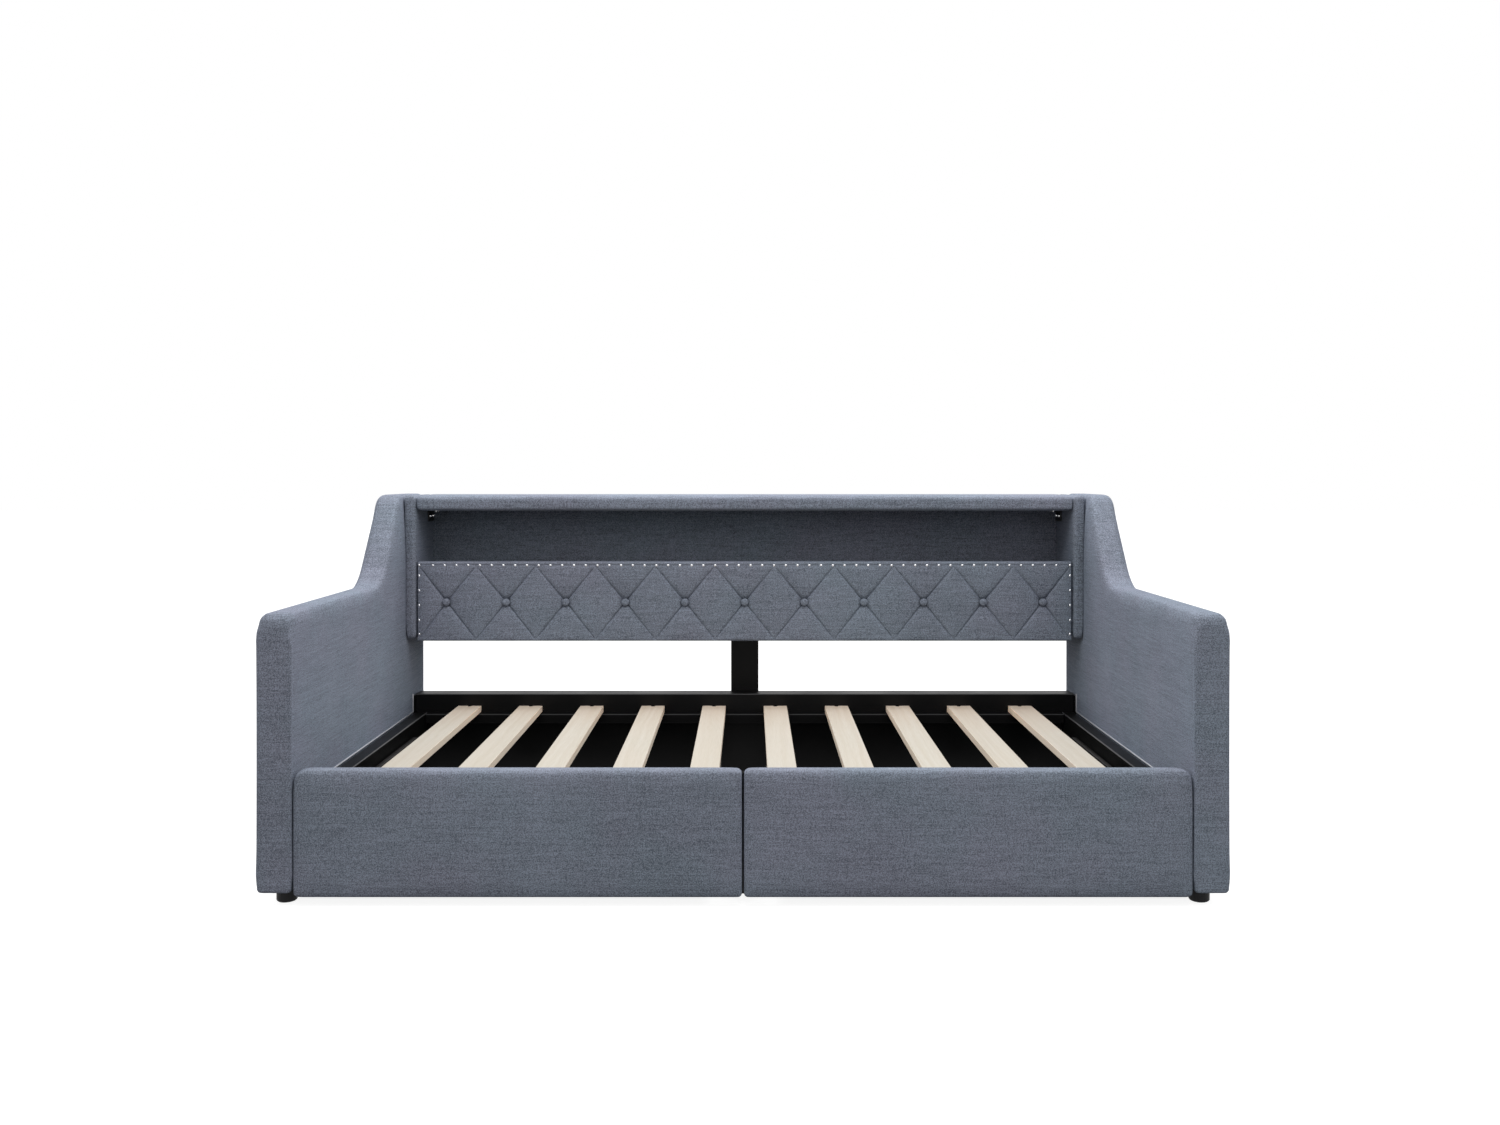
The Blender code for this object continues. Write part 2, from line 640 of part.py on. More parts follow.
def make_tufted_panel(material):
    """The padded front of the shelf unit, with its sewn diamonds and buttons."""
    edge_x = PANEL_HALF_WIDTH - PANEL_ROUNDING
    step = BUTTON_PITCH / COLUMNS_PER_BUTTON
    reach = int(edge_x / step)
    xs = [-edge_x] + [index * step for index in range(-reach, reach + 1)] + [edge_x]
    bm = bmesh.new()
    grid = [[bm.verts.new((x, depth, z)) for z, depth in tuft_column(x)] for x in xs]
    for left, right in zip(grid, grid[1:]):
        for row in range(len(left) - 1):
            bm.faces.new((left[row], right[row], right[row + 1], left[row + 1]))
    # The four borders of the grid, anticlockwise from the bottom, and the way that each faces
    borders = [
        ([column[0] for column in grid], (0, -1)),
        (grid[-1], (1, 0)),
        ([column[-1] for column in reversed(grid)], (0, 1)),
        (list(reversed(grid[0])), (-1, 0)),
    ]
    half_height = PANEL_HEIGHT / 2
    rims = []
    for border, (out_x, out_z) in borders:
        rims.append([])
        for vert in border:
            shift = Vector((out_x, 0, out_z)) * PANEL_ROUNDING
            place = Vector((vert.co.x, PANEL_ROUNDING, vert.co.z)) + shift
            rims[-1].append(bm.verts.new(place))
        for first, second, outer, next_outer in zip(border, border[1:], rims[-1], rims[-1][1:]):
            bm.faces.new((first, outer, next_outer, second))
    # Each rim ends one rounding short of its corner, where a small triangle closes the front
    for index, (border, _) in enumerate(borders):
        bm.faces.new((border[0], rims[index - 1][-1], rims[index][0]))
    backs = [
        bm.verts.new((x, PANEL_THICKNESS, z))
        for x, z in (
            (-PANEL_HALF_WIDTH, -half_height),
            (PANEL_HALF_WIDTH, -half_height),
            (PANEL_HALF_WIDTH, half_height),
            (-PANEL_HALF_WIDTH, half_height),
        )
    ]
    fronts = [bm.verts.new((back.co.x, PANEL_ROUNDING, back.co.z)) for back in backs]
    for index, rim in enumerate(rims):
        following = (index + 1) % len(rims)
        bm.faces.new((rims[index - 1][-1], fronts[index], rim[0]))
        bm.faces.new([fronts[index], backs[index], backs[following], fronts[following], *reversed(rim)])
    bm.faces.new(backs)
    middle = SHELF_BOTTOM - PANEL_DROP + PANEL_HEIGHT / 2
    place = (0, from_front(SHELF_FRONT), middle)
    panel = add_object("tufted_panel", finish_mesh(bm, "tufted_panel"), material, place)
    add_union(panel, add_object("tuft_buttons", tuft_button_meshes(), material, place))


def make_shelf_unit(cloth, board_material, metal):
    make_shelf_side(-1, "shelf_left_side", cloth)
    make_shelf_side(1, "shelf_right_side", cloth)
    make_shelf_back(cloth)
    make_shelf_top(cloth)
    make_shelf_floor(board_material)
    make_tufted_panel(cloth)
    make_bracket(-1, "left_corner_bracket", metal)
    make_bracket(1, "right_corner_bracket", metal)


def wheel_mesh():
    half = WHEEL_WIDTH / 2
    bore = AXLE_RADIUS + AXLE_CLEARANCE
    profile = [
        (bore, -half),
        (WHEEL_RADIUS - WHEEL_BEVEL, -half),
        (WHEEL_RADIUS, WHEEL_BEVEL - half),
        (WHEEL_RADIUS, half - WHEEL_BEVEL),
        (WHEEL_RADIUS - WHEEL_BEVEL, half),
        (bore, half),
    ]
    return turned_mesh("wheel", profile, WHEEL_SIDES, closed=True)


def caster_mesh():
    """A caster's housing about its axle's middle: plate, two cheeks, and the axle across them."""
    inner = WHEEL_WIDTH / 2 + WHEEL_SIDE_GAP
    outer = inner + CHEEK_THICKNESS
    plate = CASTER_PLATE_WIDTH / 2
    top = CASTER_TOP - WHEEL_RADIUS
    under = top - CASTER_PLATE_THICKNESS
    right_half = [
        (inner, under),
        (inner, -CHEEK_BELOW_AXLE),
        (outer, -CHEEK_BELOW_AXLE),
        (outer, under),
        (plate, under),
        (plate, top),
    ]
    outline = right_half + [(-a, b) for a, b in reversed(right_half)]
    half_length = CASTER_LENGTH / 2
    housing = bar("housing", outline, -half_length, half_length, lambda a, b, c: (a, c, b), None, 0)
    reach = outer + AXLE_OVERHANG
    profile = [(0, -reach), (AXLE_RADIUS, -reach), (AXLE_RADIUS, reach), (0, reach)]
    axle = add_object("axle", turned_mesh("axle", profile, AXLE_SIDES, closed=False), None)
    add_union(housing, axle)
    graph = bpy.context.evaluated_depsgraph_get()
    mesh = bpy.data.meshes.new_from_object(housing.evaluated_get(graph))
    for helper in (housing, axle):
        bpy.data.objects.remove(helper, do_unlink=True)
    return mesh


def make_drawer(side, name, materials, wheel, caster):
    """One drawer: its upholstered front, its box, and a caster near each corner of its bottom.

    Its pieces hang on an empty at the middle of the front's lower edge, which slides along Y."""
    cloth, paint, plastic, rubber = materials
    near = DRAWER_CENTER_GAP / 2
    far = ARM_INNER_X - DRAWER_ARM_GAP
    low_x, high_x = sorted((side * near, side * far))
    top = DRAWER_FRONT_BOTTOM + DRAWER_FRONT_HEIGHT
    level = top - DRAWER_FRONT_CRISP_DROP
    upper = (DRAWER_FRONT_TOP_ROUNDING, SHELF_BACK_ROUNDING)
    crisp = (DRAWER_FRONT_ROUNDING, SHELF_BACK_ROUNDING)
    radii = (DRAWER_FRONT_OUTER_RADIUS, DRAWER_FRONT_INNER_RADIUS)
    left_radius, right_radius = radii if side < 0 else reversed(radii)
    corners = [
        (low_x, DRAWER_FRONT_BOTTOM, DRAWER_FRONT_BOTTOM_RADIUS, CORNER_STEPS, crisp),
        (high_x, DRAWER_FRONT_BOTTOM, DRAWER_FRONT_BOTTOM_RADIUS, CORNER_STEPS, crisp),
        (high_x, level, 0, 0, crisp),
        (high_x, top, right_radius, CORNER_STEPS, upper),
        (low_x, top, left_radius, CORNER_STEPS, upper),
        (low_x, level, 0, 0, crisp),
    ]
    pieces = [
        padded_slab(
            f"{name}_front",
            corners,
            from_front(0),
            from_front(DRAWER_FRONT_THICKNESS),
            lambda a, b, c: (a, c, b),
            cloth,
        )
    ]
    # The box: a bottom board, two sides that stand on it, and a lower back between them
    inner = CENTER_LEG_WIDTH / 2 + DRAWER_LEG_GAP
    outer = SIDE_RAIL_INNER_X - DRAWER_RAIL_GAP
    front = from_front(DRAWER_FRONT_THICKNESS + FIT_GAP)
    back = from_front(REAR_RAIL_DEPTH - DRAWER_REAR_CLEARANCE)
    floor_top = DRAWER_BOTTOM + BOARD_THICKNESS
    wall_bottom = floor_top + FIT_GAP
    wall_top = RAIL_BOTTOM - DRAWER_TOP_GAP
    walls = {
        "bottom": ((inner, front, DRAWER_BOTTOM), (outer, back, floor_top)),
        "inner_side": ((inner, front, wall_bottom), (inner + BOARD_THICKNESS, back, wall_top)),
        "outer_side": ((outer - BOARD_THICKNESS, front, wall_bottom), (outer, back, wall_top)),
        "back": (
            (inner + BOARD_THICKNESS + FIT_GAP, back - BOARD_THICKNESS, wall_bottom),
            (outer - BOARD_THICKNESS - FIT_GAP, back, wall_bottom + DRAWER_BACK_HEIGHT),
        ),
    }
    for wall, (low, high) in walls.items():
        xs = sorted((side * low[0], side * high[0]))
        pieces.append(board(f"{name}_{wall}", (xs[0], *low[1:]), (xs[1], *high[1:]), paint))
    number = 0
    for x in (inner + CASTER_FROM_SIDE, outer - CASTER_FROM_SIDE):
        for y in (front + CASTER_FROM_FRONT, back - CASTER_FROM_BACK):
            number += 1
            place = (side * x, y, WHEEL_RADIUS)
            pieces.append(add_object(f"{name}_caster_{number}", caster, plastic, place))
            pieces.append(add_object(f"{name}_wheel_{number}", wheel, rubber, place))
    carrier = bpy.data.objects.new(name, None)
    carrier.location = ((low_x + high_x) / 2, from_front(0), DRAWER_FRONT_BOTTOM)
    bpy.context.scene.collection.objects.link(carrier)
    for piece in pieces:
        piece.location -= carrier.location
        piece.parent = carrier


def main():
    clear_scene()
    cloth = fabric()
    wood = pale_wood()
    paint = black_paint()
    plastic = black_plastic()
    rubber = grey_rubber()
    make_arm(-1, "left_arm", cloth)
    make_arm(1, "right_arm", cloth)
    make_feet(plastic)
    make_frame(paint)
    make_slats(wood)
    make_shelf_unit(cloth, bare_board(), paint)
    wheel = wheel_mesh()
    caster = caster_mesh()
    for side, name in ((-1, "left_drawer"), (1, "right_drawer")):
        make_drawer(side, name, (cloth, paint, plastic, rubber), wheel, caster)


main()
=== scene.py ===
import math

import bmesh
import bpy
import numpy as np
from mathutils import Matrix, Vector
from mathutils.bvhtree import BVHTree


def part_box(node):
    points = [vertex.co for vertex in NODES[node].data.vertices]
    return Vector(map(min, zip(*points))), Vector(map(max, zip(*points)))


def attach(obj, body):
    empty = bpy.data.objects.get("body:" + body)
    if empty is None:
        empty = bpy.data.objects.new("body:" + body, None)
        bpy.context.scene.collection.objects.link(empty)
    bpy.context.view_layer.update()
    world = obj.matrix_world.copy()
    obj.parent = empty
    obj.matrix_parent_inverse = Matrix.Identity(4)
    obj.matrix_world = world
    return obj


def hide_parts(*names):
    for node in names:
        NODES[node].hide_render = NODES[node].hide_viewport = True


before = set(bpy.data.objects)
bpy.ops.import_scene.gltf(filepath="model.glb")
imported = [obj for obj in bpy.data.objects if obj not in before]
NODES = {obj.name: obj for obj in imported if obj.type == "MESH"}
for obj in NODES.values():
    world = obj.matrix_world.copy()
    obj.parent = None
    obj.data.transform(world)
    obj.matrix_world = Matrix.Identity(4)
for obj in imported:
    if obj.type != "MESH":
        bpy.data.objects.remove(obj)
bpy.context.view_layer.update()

MM = 0.001

# The view of the photograph, in its pixels and in metres.
PHOTO_WIDTH = 1500
PHOTO_HEIGHT = 1125
FOCAL_PIXELS = 1338.0
HORIZON_ROW = 473.8
AXIS_COLUMN = 749.55
CAMERA_PLACE = (0.0143, -3.51115, 0.942)
SENSOR = 36.0
FLOOR_REACH = 30.0

# Fabric: its colour, and how wide a thread and a slub are.
FABRIC_COLOUR = (0.170, 0.189, 0.230)
THREAD = 0.0016
SLUB = 0.0032

# Wood: its tones, and the painted light that makes it lighter at the rear, where the shelf shades the
# slats, and on the slats' sides, which their neighbours shade.
EARLY_WOOD = (0.442, 0.414, 0.363)
LATE_WOOD = (0.405, 0.368, 0.308)
FIBRE_TONE = (0.345, 0.295, 0.23)
STREAK_TONE = (0.428, 0.382, 0.322)
PAINTED_REAR_LIGHT = (1.9, 1.74, 1.64)
PAINTED_SIDE_LIGHT = (1.9, 1.78, 1.7)

# Dark surfaces: the tone of the painted highlight on upper edges, and of dust.
PAINTED_HIGHLIGHT_TONE = (0.5, 0.5, 0.52)
DUST = (0.35, 0.34, 0.33)

# Padding.
WELD_DISTANCE = 1e-5
PRESSURE = 4.0
SWELL_FRAMES = 14

# The wing's inner face and the side panel beside it lean out, by LEAN at LEAN_RISE above LEAN_START.
LEAN = 8.5 * MM
LEAN_START = 0.69
LEAN_RISE = 0.178

# How far the wing's inner face draws back beside the side panel, which leaves a dark line.
CREVICE = 3.0 * MM

# Tufted panel: places on its front.
BUTTONS = 11
BUTTON_PITCH = 0.173
BUTTON_LEVEL = 0.5695
BUTTON_RADIUS = 11.0 * MM
BUTTON_SUNK = 5.4 * MM
CREASE_TOP = 0.6736
CREASE_BOTTOM = 0.4613
NAIL_EDGE = 0.9436
NAIL_LEVEL = 0.677
NAIL_START = 0.01706
NAIL_PITCH = 0.03411
NAILS_PER_HALF = 27
NAIL_LEVELS = (0.6463, 0.6036, 0.5604, 0.5172, 0.4772)
NAIL_RADIUS = 4.3 * MM
NAIL_SUNK_TOP = 0.4 * MM
NAIL_SUNK_SIDE = 0.9 * MM

# Tufted panel: how deep its forms are, and how far they reach.
SHARP_DEPTH = 6.5 * MM
SHARP_REACH = 0.0014
VALLEY_DEPTH = 4.6 * MM
VALLEY_REACH = 0.018
DIP_DEPTH = 6.0 * MM
DIP_REACH = 0.034
WELL_DEPTH = 5.0 * MM
WELL_GAP = 1.0 * MM
WELL_EDGE = 0.0005
GROOVE_DEPTH = 1.8 * MM
GROOVE_REACH = 0.0030
PANEL_ROLL = 6.0 * MM
PANEL_RIM = 2.0 * MM

# Slats, and the pale strips on the rails that stand in for their edge highlights.
NOTCH_RADIUS = 5.5 * MM
SLAT_EASE = 1.1 * MM
BAND_EASE = 0.2 * MM

# Screws and bolts.
SCREW_RADIUS = 6.0 * MM
SCREW_UP = 17.0 * MM
SCREW_IN = 20.5 * MM
BRACKET_THICKNESS = 3.0 * MM
BOARD_SCREW_RADIUS = 3.6 * MM
SCREW_FROM_EDGE = 8.0 * MM
LOW_SCREW_HEIGHTS = (8.0 * MM, 30.0 * MM)
CROSS_WIDTH = 0.13
CROSS_REACH = 0.6
CROSS_DEPTH = 0.34
BOLT_RADIUS = 6.5 * MM
BOLT_SPREAD = 0.022
BOLT_FROM_END = 0.03

# Linings and staples.
LINING_CORNER = 6.0 * MM
ARM_LINING_EDGE = 11.0 * MM
DRAWER_LINING_EDGE = 14.0 * MM
STAPLE_LENGTH = 10.0 * MM
STAPLE_WIRE = 0.5 * MM
STAPLE_GAP = 0.045
STAPLE_FROM_EDGE = 5.0 * MM
STAPLE_FROM_END = 0.01


# Objects

def add_object(name, points, faces, material, smooth=True):
    """A new mesh object with one material."""
    mesh = bpy.data.meshes.new(name)
    mesh.from_pydata([tuple(p) for p in points], [], [tuple(f) for f in faces])
    mesh.validate()
    mesh.update()
    mesh.polygons.foreach_set("use_smooth", [smooth] * len(mesh.polygons))
    made = bpy.data.objects.new(name, mesh)
    bpy.context.scene.collection.objects.link(made)
    made.data.materials.append(material)
    return made


def vectors(items, key):
    """One vector of each of a mesh's items, as an array."""
    flat = np.empty(len(items) * 3)
    items.foreach_get(key, flat)
    return flat.reshape(-1, 3)


def coordinates(mesh):
    """The mesh's points as an array."""
    return vectors(mesh.vertices, "co")


def move_points(mesh, points):
    """Puts the mesh's points at the given places."""
    mesh.vertices.foreach_set("co", np.ascontiguousarray(points, dtype=float).ravel())
    mesh.update()


def join_rings(rings):
    """Points and faces of a closed skin over rings of the same number of points."""
    count = len(rings[0])
    points = [p for ring in rings for p in ring]
    faces = []
    for level in range(len(rings) - 1):
        for i in range(count):
            j = (i + 1) % count
            low = level * count
            high = low + count
            faces.append((low + i, low + j, high + j, high + i))
    last = (len(rings) - 1) * count
    faces.append(tuple(reversed(range(count))))
    faces.append(tuple(last + i for i in range(count)))
    return points, faces


def axes_round(axis):
    """The axis as a unit vector, and two unit vectors square to it."""
    axis = Vector(axis).normalized()
    first = axis.orthogonal().normalized()
    return axis, first, axis.cross(first)


def turned(profile, centre, axis, sides, twist=0.0):
    """A turned shape round an axis: the profile lists (along, radius)."""
    axis, first, second = axes_round(axis)
    rings = []
    for along, radius in profile:
        ring = []
        for i in range(sides):
            angle = 2 * math.pi * i / sides + twist
            out = first * math.cos(angle) + second * math.sin(angle)
            ring.append(Vector(centre) + axis * along + out * radius)
        rings.append(ring)
    return join_rings(rings)


def gather(parts):
    """Several (points, faces) as one."""
    points = []
    faces = []
    for some_points, some_faces in parts:
        start = len(points)
        points += some_points
        faces += [tuple(start + i for i in face) for face in some_faces]
    return points, faces


# Materials

class Graph:
    """One node material, built step by step."""

    def __init__(self, name, **sockets):
        self.material = bpy.data.materials.new(name)
        self.material.use_nodes = True
        self.tree = self.material.node_tree
        self.tree.nodes.clear()
        self.shader = self.tree.nodes.new("ShaderNodeBsdfPrincipled")
        output = self.tree.nodes.new("ShaderNodeOutputMaterial")
        self.tree.links.new(self.shader.outputs[0], output.inputs["Surface"])
        for socket, value in sockets.items():
            self.put(self.shader, socket.replace("_", " "), value)

    def put(self, node, socket, value):
        """Sets or links one input."""
        if isinstance(value, bpy.types.NodeSocket):
            self.tree.links.new(value, node.inputs[socket])
        elif isinstance(value, tuple) and node.inputs[socket].type == "RGBA":
            node.inputs[socket].default_value = (*value, 1.0)
        else:
            node.inputs[socket].default_value = value

    def node(self, kind, settings=None, **sockets):
        """A node with its settings and inputs."""
        made = self.tree.nodes.new("ShaderNode" + kind)
        for key, value in (settings or {}).items():
            setattr(made, key, value)
        for socket, value in sockets.items():
            self.put(made, socket.replace("_", " "), value)
        return made

    def math(self, operation, a, b=0.0):
        """One number from one or two."""
        made = self.node("Math", {"operation": operation})
        self.put(made, 0, a)
        self.put(made, 1, b)
        return made.outputs[0]

    def weighted(self, *terms):
        """The sum of some numbers, each times its weight."""
        total = 0.0
        for value, weight in terms:
            total = self.math("ADD", total, self.math("MULTIPLY", value, weight))
        return total

    def between(self, factor, a, b):
        """A number between a and b."""
        made = self.node("Mix", {"data_type": "FLOAT"})
        self.put(made, 0, factor)
        self.put(made, 2, a)
        self.put(made, 3, b)
        return made.outputs[0]

    def mix(self, factor, a, b, kind="MIX"):
        """A colour between a and b."""
        made = self.node("Mix", {"data_type": "RGBA", "blend_type": kind})
        self.put(made, 0, factor)
        self.put(made, 6, a)
        self.put(made, 7, b)
        return made.outputs[2]

    def tinted(self, colour, tint):
        """A colour multiplied by another."""
        return self.mix(1.0, colour, tint, "MULTIPLY")

    def split(self, vector):
        """The three numbers of a vector."""
        return self.node("SeparateXYZ", Vector=vector).outputs

    def place(self, x, y, z):
        """A vector from three numbers."""
        return self.node("CombineXYZ", X=x, Y=y, Z=z).outputs[0]

    def stretched(self, place, factors):
        """A vector from three numbers, each multiplied by its factor."""
        return self.place(*[self.math("MULTIPLY", a, b) for a, b in zip(place, factors)])

    def here(self):
        """The place on the object, in metres."""
        return self.node("TexCoord").outputs["Object"]

    def facing(self):
        """The three numbers of the surface's normal."""
        return self.split(self.node("NewGeometry").outputs["Normal"])

    def noise(self, place, scale, detail=2.0, roughness=0.5):
        """Smooth noise round 0.5."""
        made = self.node("TexNoise", Vector=place, Scale=scale, Detail=detail, Roughness=roughness)
        return made.outputs[0]

    def ripple(self, place, scale, detail=2.0, roughness=0.5):
        """Smooth noise round zero."""
        return self.math("SUBTRACT", self.noise(place, scale, detail, roughness), 0.5)

    def ramp(self, factor, low, high, a=0.0, b=1.0):
        """A number that goes from a to b while the factor goes from low to high."""
        made = self.node("MapRange", {"clamp": True})
        for socket, value in enumerate((factor, low, high, a, b)):
            self.put(made, socket, value)
        return made.outputs[0]

    def bump(self, height, distance, strength):
        """Bumps of the given height in metres."""
        made = self.node("Bump", Height=height, Distance=distance, Strength=strength)
        self.put(self.shader, "Normal", made.outputs[0])


def times(colour, factor):
    """A colour made lighter or darker."""
    return tuple(min(1.0, c * factor) for c in colour)


def cloth_places(g, here):
    """The places across and along the cloth, whichever way it faces; the threads sway a little."""
    x, y, z = g.split(here)
    nx, ny, nz = [g.math("ABSOLUTE", n) for n in g.facing()]
    sideways = g.math("GREATER_THAN", nx, g.math("MAXIMUM", ny, nz))
    upward = g.math("GREATER_THAN", nz, g.math("MAXIMUM", nx, ny))
    sway = g.math("MULTIPLY", g.ripple(here, 7.0, 1.0), 0.004)
    across = g.math("ADD", g.between(sideways, x, y), sway)
    along = g.math("ADD", g.between(upward, z, y), sway)
    return across, along


def thread_row(g, place, width):
    """The number of the thread or slub at a place."""
    return g.math("FLOOR", g.math("DIVIDE", place, width))


def thread_back(g, place):
    """The round back of the thread at a place, from 0 to 1."""
    turn = g.math("FRACT", g.math("DIVIDE", place, THREAD))
    return g.math("SINE", g.math("MULTIPLY", turn, math.pi))


def streak(g, run, row, length, seed):
    """Noise drawn out along the threads, another in each row, round zero."""
    place = g.place(g.math("DIVIDE", run, length), g.math("MULTIPLY", row, 3.71), seed)
    return g.ripple(place, 1.0, 2.0, 0.6)


def weave(g, across, along):
    """Each thread's tone and the height of the weave."""
    weft_row = thread_row(g, along, THREAD)
    warp_row = thread_row(g, across, THREAD)
    half = g.math("MULTIPLY", g.math("ADD", weft_row, warp_row), 0.5)
    warp_on_top = g.math("MULTIPLY", g.math("FRACT", half), 2.0)
    weft = streak(g, across, weft_row, 0.030, 0.0)
    warp = streak(g, along, warp_row, 0.014, 9.0)
    thread = g.between(warp_on_top, weft, warp)
    back = g.between(warp_on_top, thread_back(g, along), thread_back(g, across))
    return thread, g.weighted((back, 1.0), (thread, 1.2))


def make_linen(name, base):
    """Linen-look upholstery fabric: a plain weave of uneven threads with slubs both ways."""
    sheen = (0.55, 0.66, 0.9)
    g = Graph(name, Roughness=0.95, Sheen_Weight=0.12, Sheen_Roughness=0.45, Sheen_Tint=sheen)
    g.put(g.shader, "Specular IOR Level", 0.08)
    here = g.here()
    across, along = cloth_places(g, here)
    thread, height = weave(g, across, along)
    weft_slubs = streak(g, across, thread_row(g, along, SLUB), 0.12, 3.0)
    warp_slubs = streak(g, along, thread_row(g, across, SLUB), 0.05, 6.0)
    slubs = g.weighted((weft_slubs, 1.0), (warp_slubs, 0.4))
    grain = g.ripple(here, 430.0, 1.0)
    broad = g.ripple(here, 2.6, 3.0)
    tone = g.weighted((thread, 1.2), (slubs, 0.85), (grain, 2.6), (broad, 0.55))
    colour = g.mix(g.ramp(tone, -0.6, 0.6), times(base, 0.5), times(base, 1.5))
    patchy = g.ramp(g.noise(here, 4.1, 2.0), 0.35, 0.65)
    patch = g.mix(patchy, (0.965, 1.008, 1.0), (1.03, 0.992, 1.01))
    g.put(g.shader, "Base Color", g.tinted(colour, patch))
    g.bump(height, 0.35 * MM, 0.6)
    return g.material


def make_wood(name):
    """Pale planed softwood with its grain along Y, with painted light: lighter towards the rear and on
    the sides.
    """
    g = Graph(name, Roughness=0.6)
    g.put(g.shader, "Specular IOR Level", 0.3)
    x, y, z = g.split(g.here())
    bend = g.noise(g.stretched((x, y, z), (9.0, 1.6, 1.0)), 1.0, 2.0)
    over = g.math("ADD", x, g.math("MULTIPLY", bend, 0.05))
    rings = g.noise(g.stretched((over, y, z), (95.0, 1.1, 40.0)), 1.0, 3.0)
    fibre = g.noise(g.stretched((over, y, z), (900.0, 16.0, 700.0)), 1.0, 2.0)
    broad = g.noise(g.stretched((x, y, 2.0), (5.5, 2.4, 1.0)), 1.0, 2.0)
    colour = g.mix(g.ramp(rings, 0.35, 0.68), EARLY_WOOD, LATE_WOOD)
    colour = g.mix(g.ramp(fibre, 0.5, 0.75, 0.0, 0.3), colour, FIBRE_TONE)
    colour = g.mix(g.ramp(broad, 0.4, 0.62, 0.0, 0.45), colour, STREAK_TONE)
    # Painted light: the slats grow lighter towards the rear, to make up for the shade under the shelf.
    painted_rear_light = g.math("POWER", g.ramp(y, -0.11, 0.43), 2.2)
    colour = g.mix(painted_rear_light, colour, g.tinted(colour, PAINTED_REAR_LIGHT))
    # Painted light: the slats' sides, shaded by their neighbours, are made lighter.
    painted_side_light = g.ramp(g.math("ABSOLUTE", g.facing()[0]), 0.5, 0.9)
    g.put(g.shader, "Base Color", g.mix(painted_side_light, colour, g.tinted(colour, PAINTED_SIDE_LIGHT)))
    g.put(g.shader, "Roughness", g.ramp(fibre, 0.3, 0.7, 0.5, 0.68))
    g.bump(fibre, 0.12 * MM, 0.5)
    return g.material


def make_dark(name, colour, smooth, rough, peel=420.0, depth=0.05, dust=0.0, gloss=0.15, edge=0.06):
    """A painted, moulded or laminated surface: fine texture, cloudy gloss, a painted highlight on upper
    edges, dust on top.
    """
    g = Graph(name)
    g.put(g.shader, "Specular IOR Level", gloss)
    here = g.here()
    fine = g.noise(here, peel, 2.0)
    cloudy = g.noise(here, 7.0, 3.0)
    scuffs = g.noise(here, 60.0, 4.0, 0.65)
    facing = g.facing()
    upward = facing[2]
    nx, ny, nz = [g.math("ABSOLUTE", n) for n in facing]
    flat = g.math("MAXIMUM", nx, g.math("MAXIMUM", ny, nz))
    mottled_tone = g.mix(g.ramp(scuffs, 0.55, 0.8, 0.0, 0.5), times(colour, 0.9), times(colour, 1.5))
    # Painted highlight: bevelled edges that face up turn paler, as strong as the edge value.
    painted_highlight = g.math("MULTIPLY", g.ramp(flat, 0.97, 0.88), g.ramp(upward, 0.1, 0.4, 0.0, edge))
    mottled_tone = g.mix(painted_highlight, mottled_tone, PAINTED_HIGHLIGHT_TONE)
    settled = g.math("MULTIPLY", g.ramp(upward, 0.6, 0.95), g.ramp(scuffs, 0.4, 0.75, 0.0, dust))
    g.put(g.shader, "Base Color", g.mix(settled, mottled_tone, DUST))
    g.put(g.shader, "Roughness", g.ramp(cloudy, 0.3, 0.7, smooth, rough))
    g.bump(fine, depth * MM, 0.5)
    return g.material


def make_metal(name, colour, smooth, rough):
    """Bright plated metal with a faintly uneven polish."""
    g = Graph(name, Metallic=1.0)
    here = g.here()
    mottled_tone = g.ramp(g.noise(here, 900.0, 2.0), 0.35, 0.7)
    g.put(g.shader, "Base Color", g.mix(mottled_tone, colour, times(colour, 0.82)))
    g.put(g.shader, "Roughness", g.ramp(g.noise(here, 350.0, 2.0), 0.3, 0.7, smooth, rough))
    return g.material


linen = make_linen("linen", FABRIC_COLOUR)
wood = make_wood("pale_wood")
# The edge values, 0.06 where none is given, set how strong the painted highlight on upper edges is.
lacquer = make_dark("satin_black_lacquer", (0.0048, 0.0048, 0.0050), 0.32, 0.44, gloss=0.12, edge=0.11)
stain = make_dark("black_stain", (0.0045, 0.0045, 0.0046), 0.6, 0.8, 300.0, 0.08, gloss=0.05, edge=0.0)
low_sheen = make_dark("low_sheen_lacquer", (0.0044, 0.0044, 0.0046), 0.5, 0.7, gloss=0.06, edge=0.07)
board_black = make_dark("black_laminate", (0.0085, 0.0078, 0.0078), 0.42, 0.58, 260.0, 0.06, 0.045)
lining = make_dark("black_lining", (0.011, 0.011, 0.012), 0.85, 0.95, 900.0, 0.1, gloss=0.03, edge=0.0)
board_plain = make_dark("raw_fibreboard", (0.235, 0.165, 0.105), 0.75, 0.9, 700.0, 0.12)
# A pale grey painted to stand in for the highlights on the rails' edges.
highlight_strip_grey = make_dark("pale_highlight_strip", (0.42, 0.43, 0.46), 0.4, 0.6, 500.0, 0.05)
steel_black = make_dark("black_steel", (0.008, 0.008, 0.009), 0.3, 0.45, 500.0, 0.04, 0.02, 0.35)
plastic = make_dark("black_plastic", (0.014, 0.014, 0.015), 0.4, 0.55, 650.0, 0.08, 0.03)
rubber = make_dark("grey_tread", (0.045, 0.045, 0.048), 0.6, 0.8, 500.0, 0.1, 0.02)
chrome = make_metal("nail_chrome", (0.90, 0.905, 0.92), 0.12, 0.26)
zinc = make_metal("zinc_screw", (0.95, 0.955, 0.96), 0.03, 0.08)


# Camera, light and floor

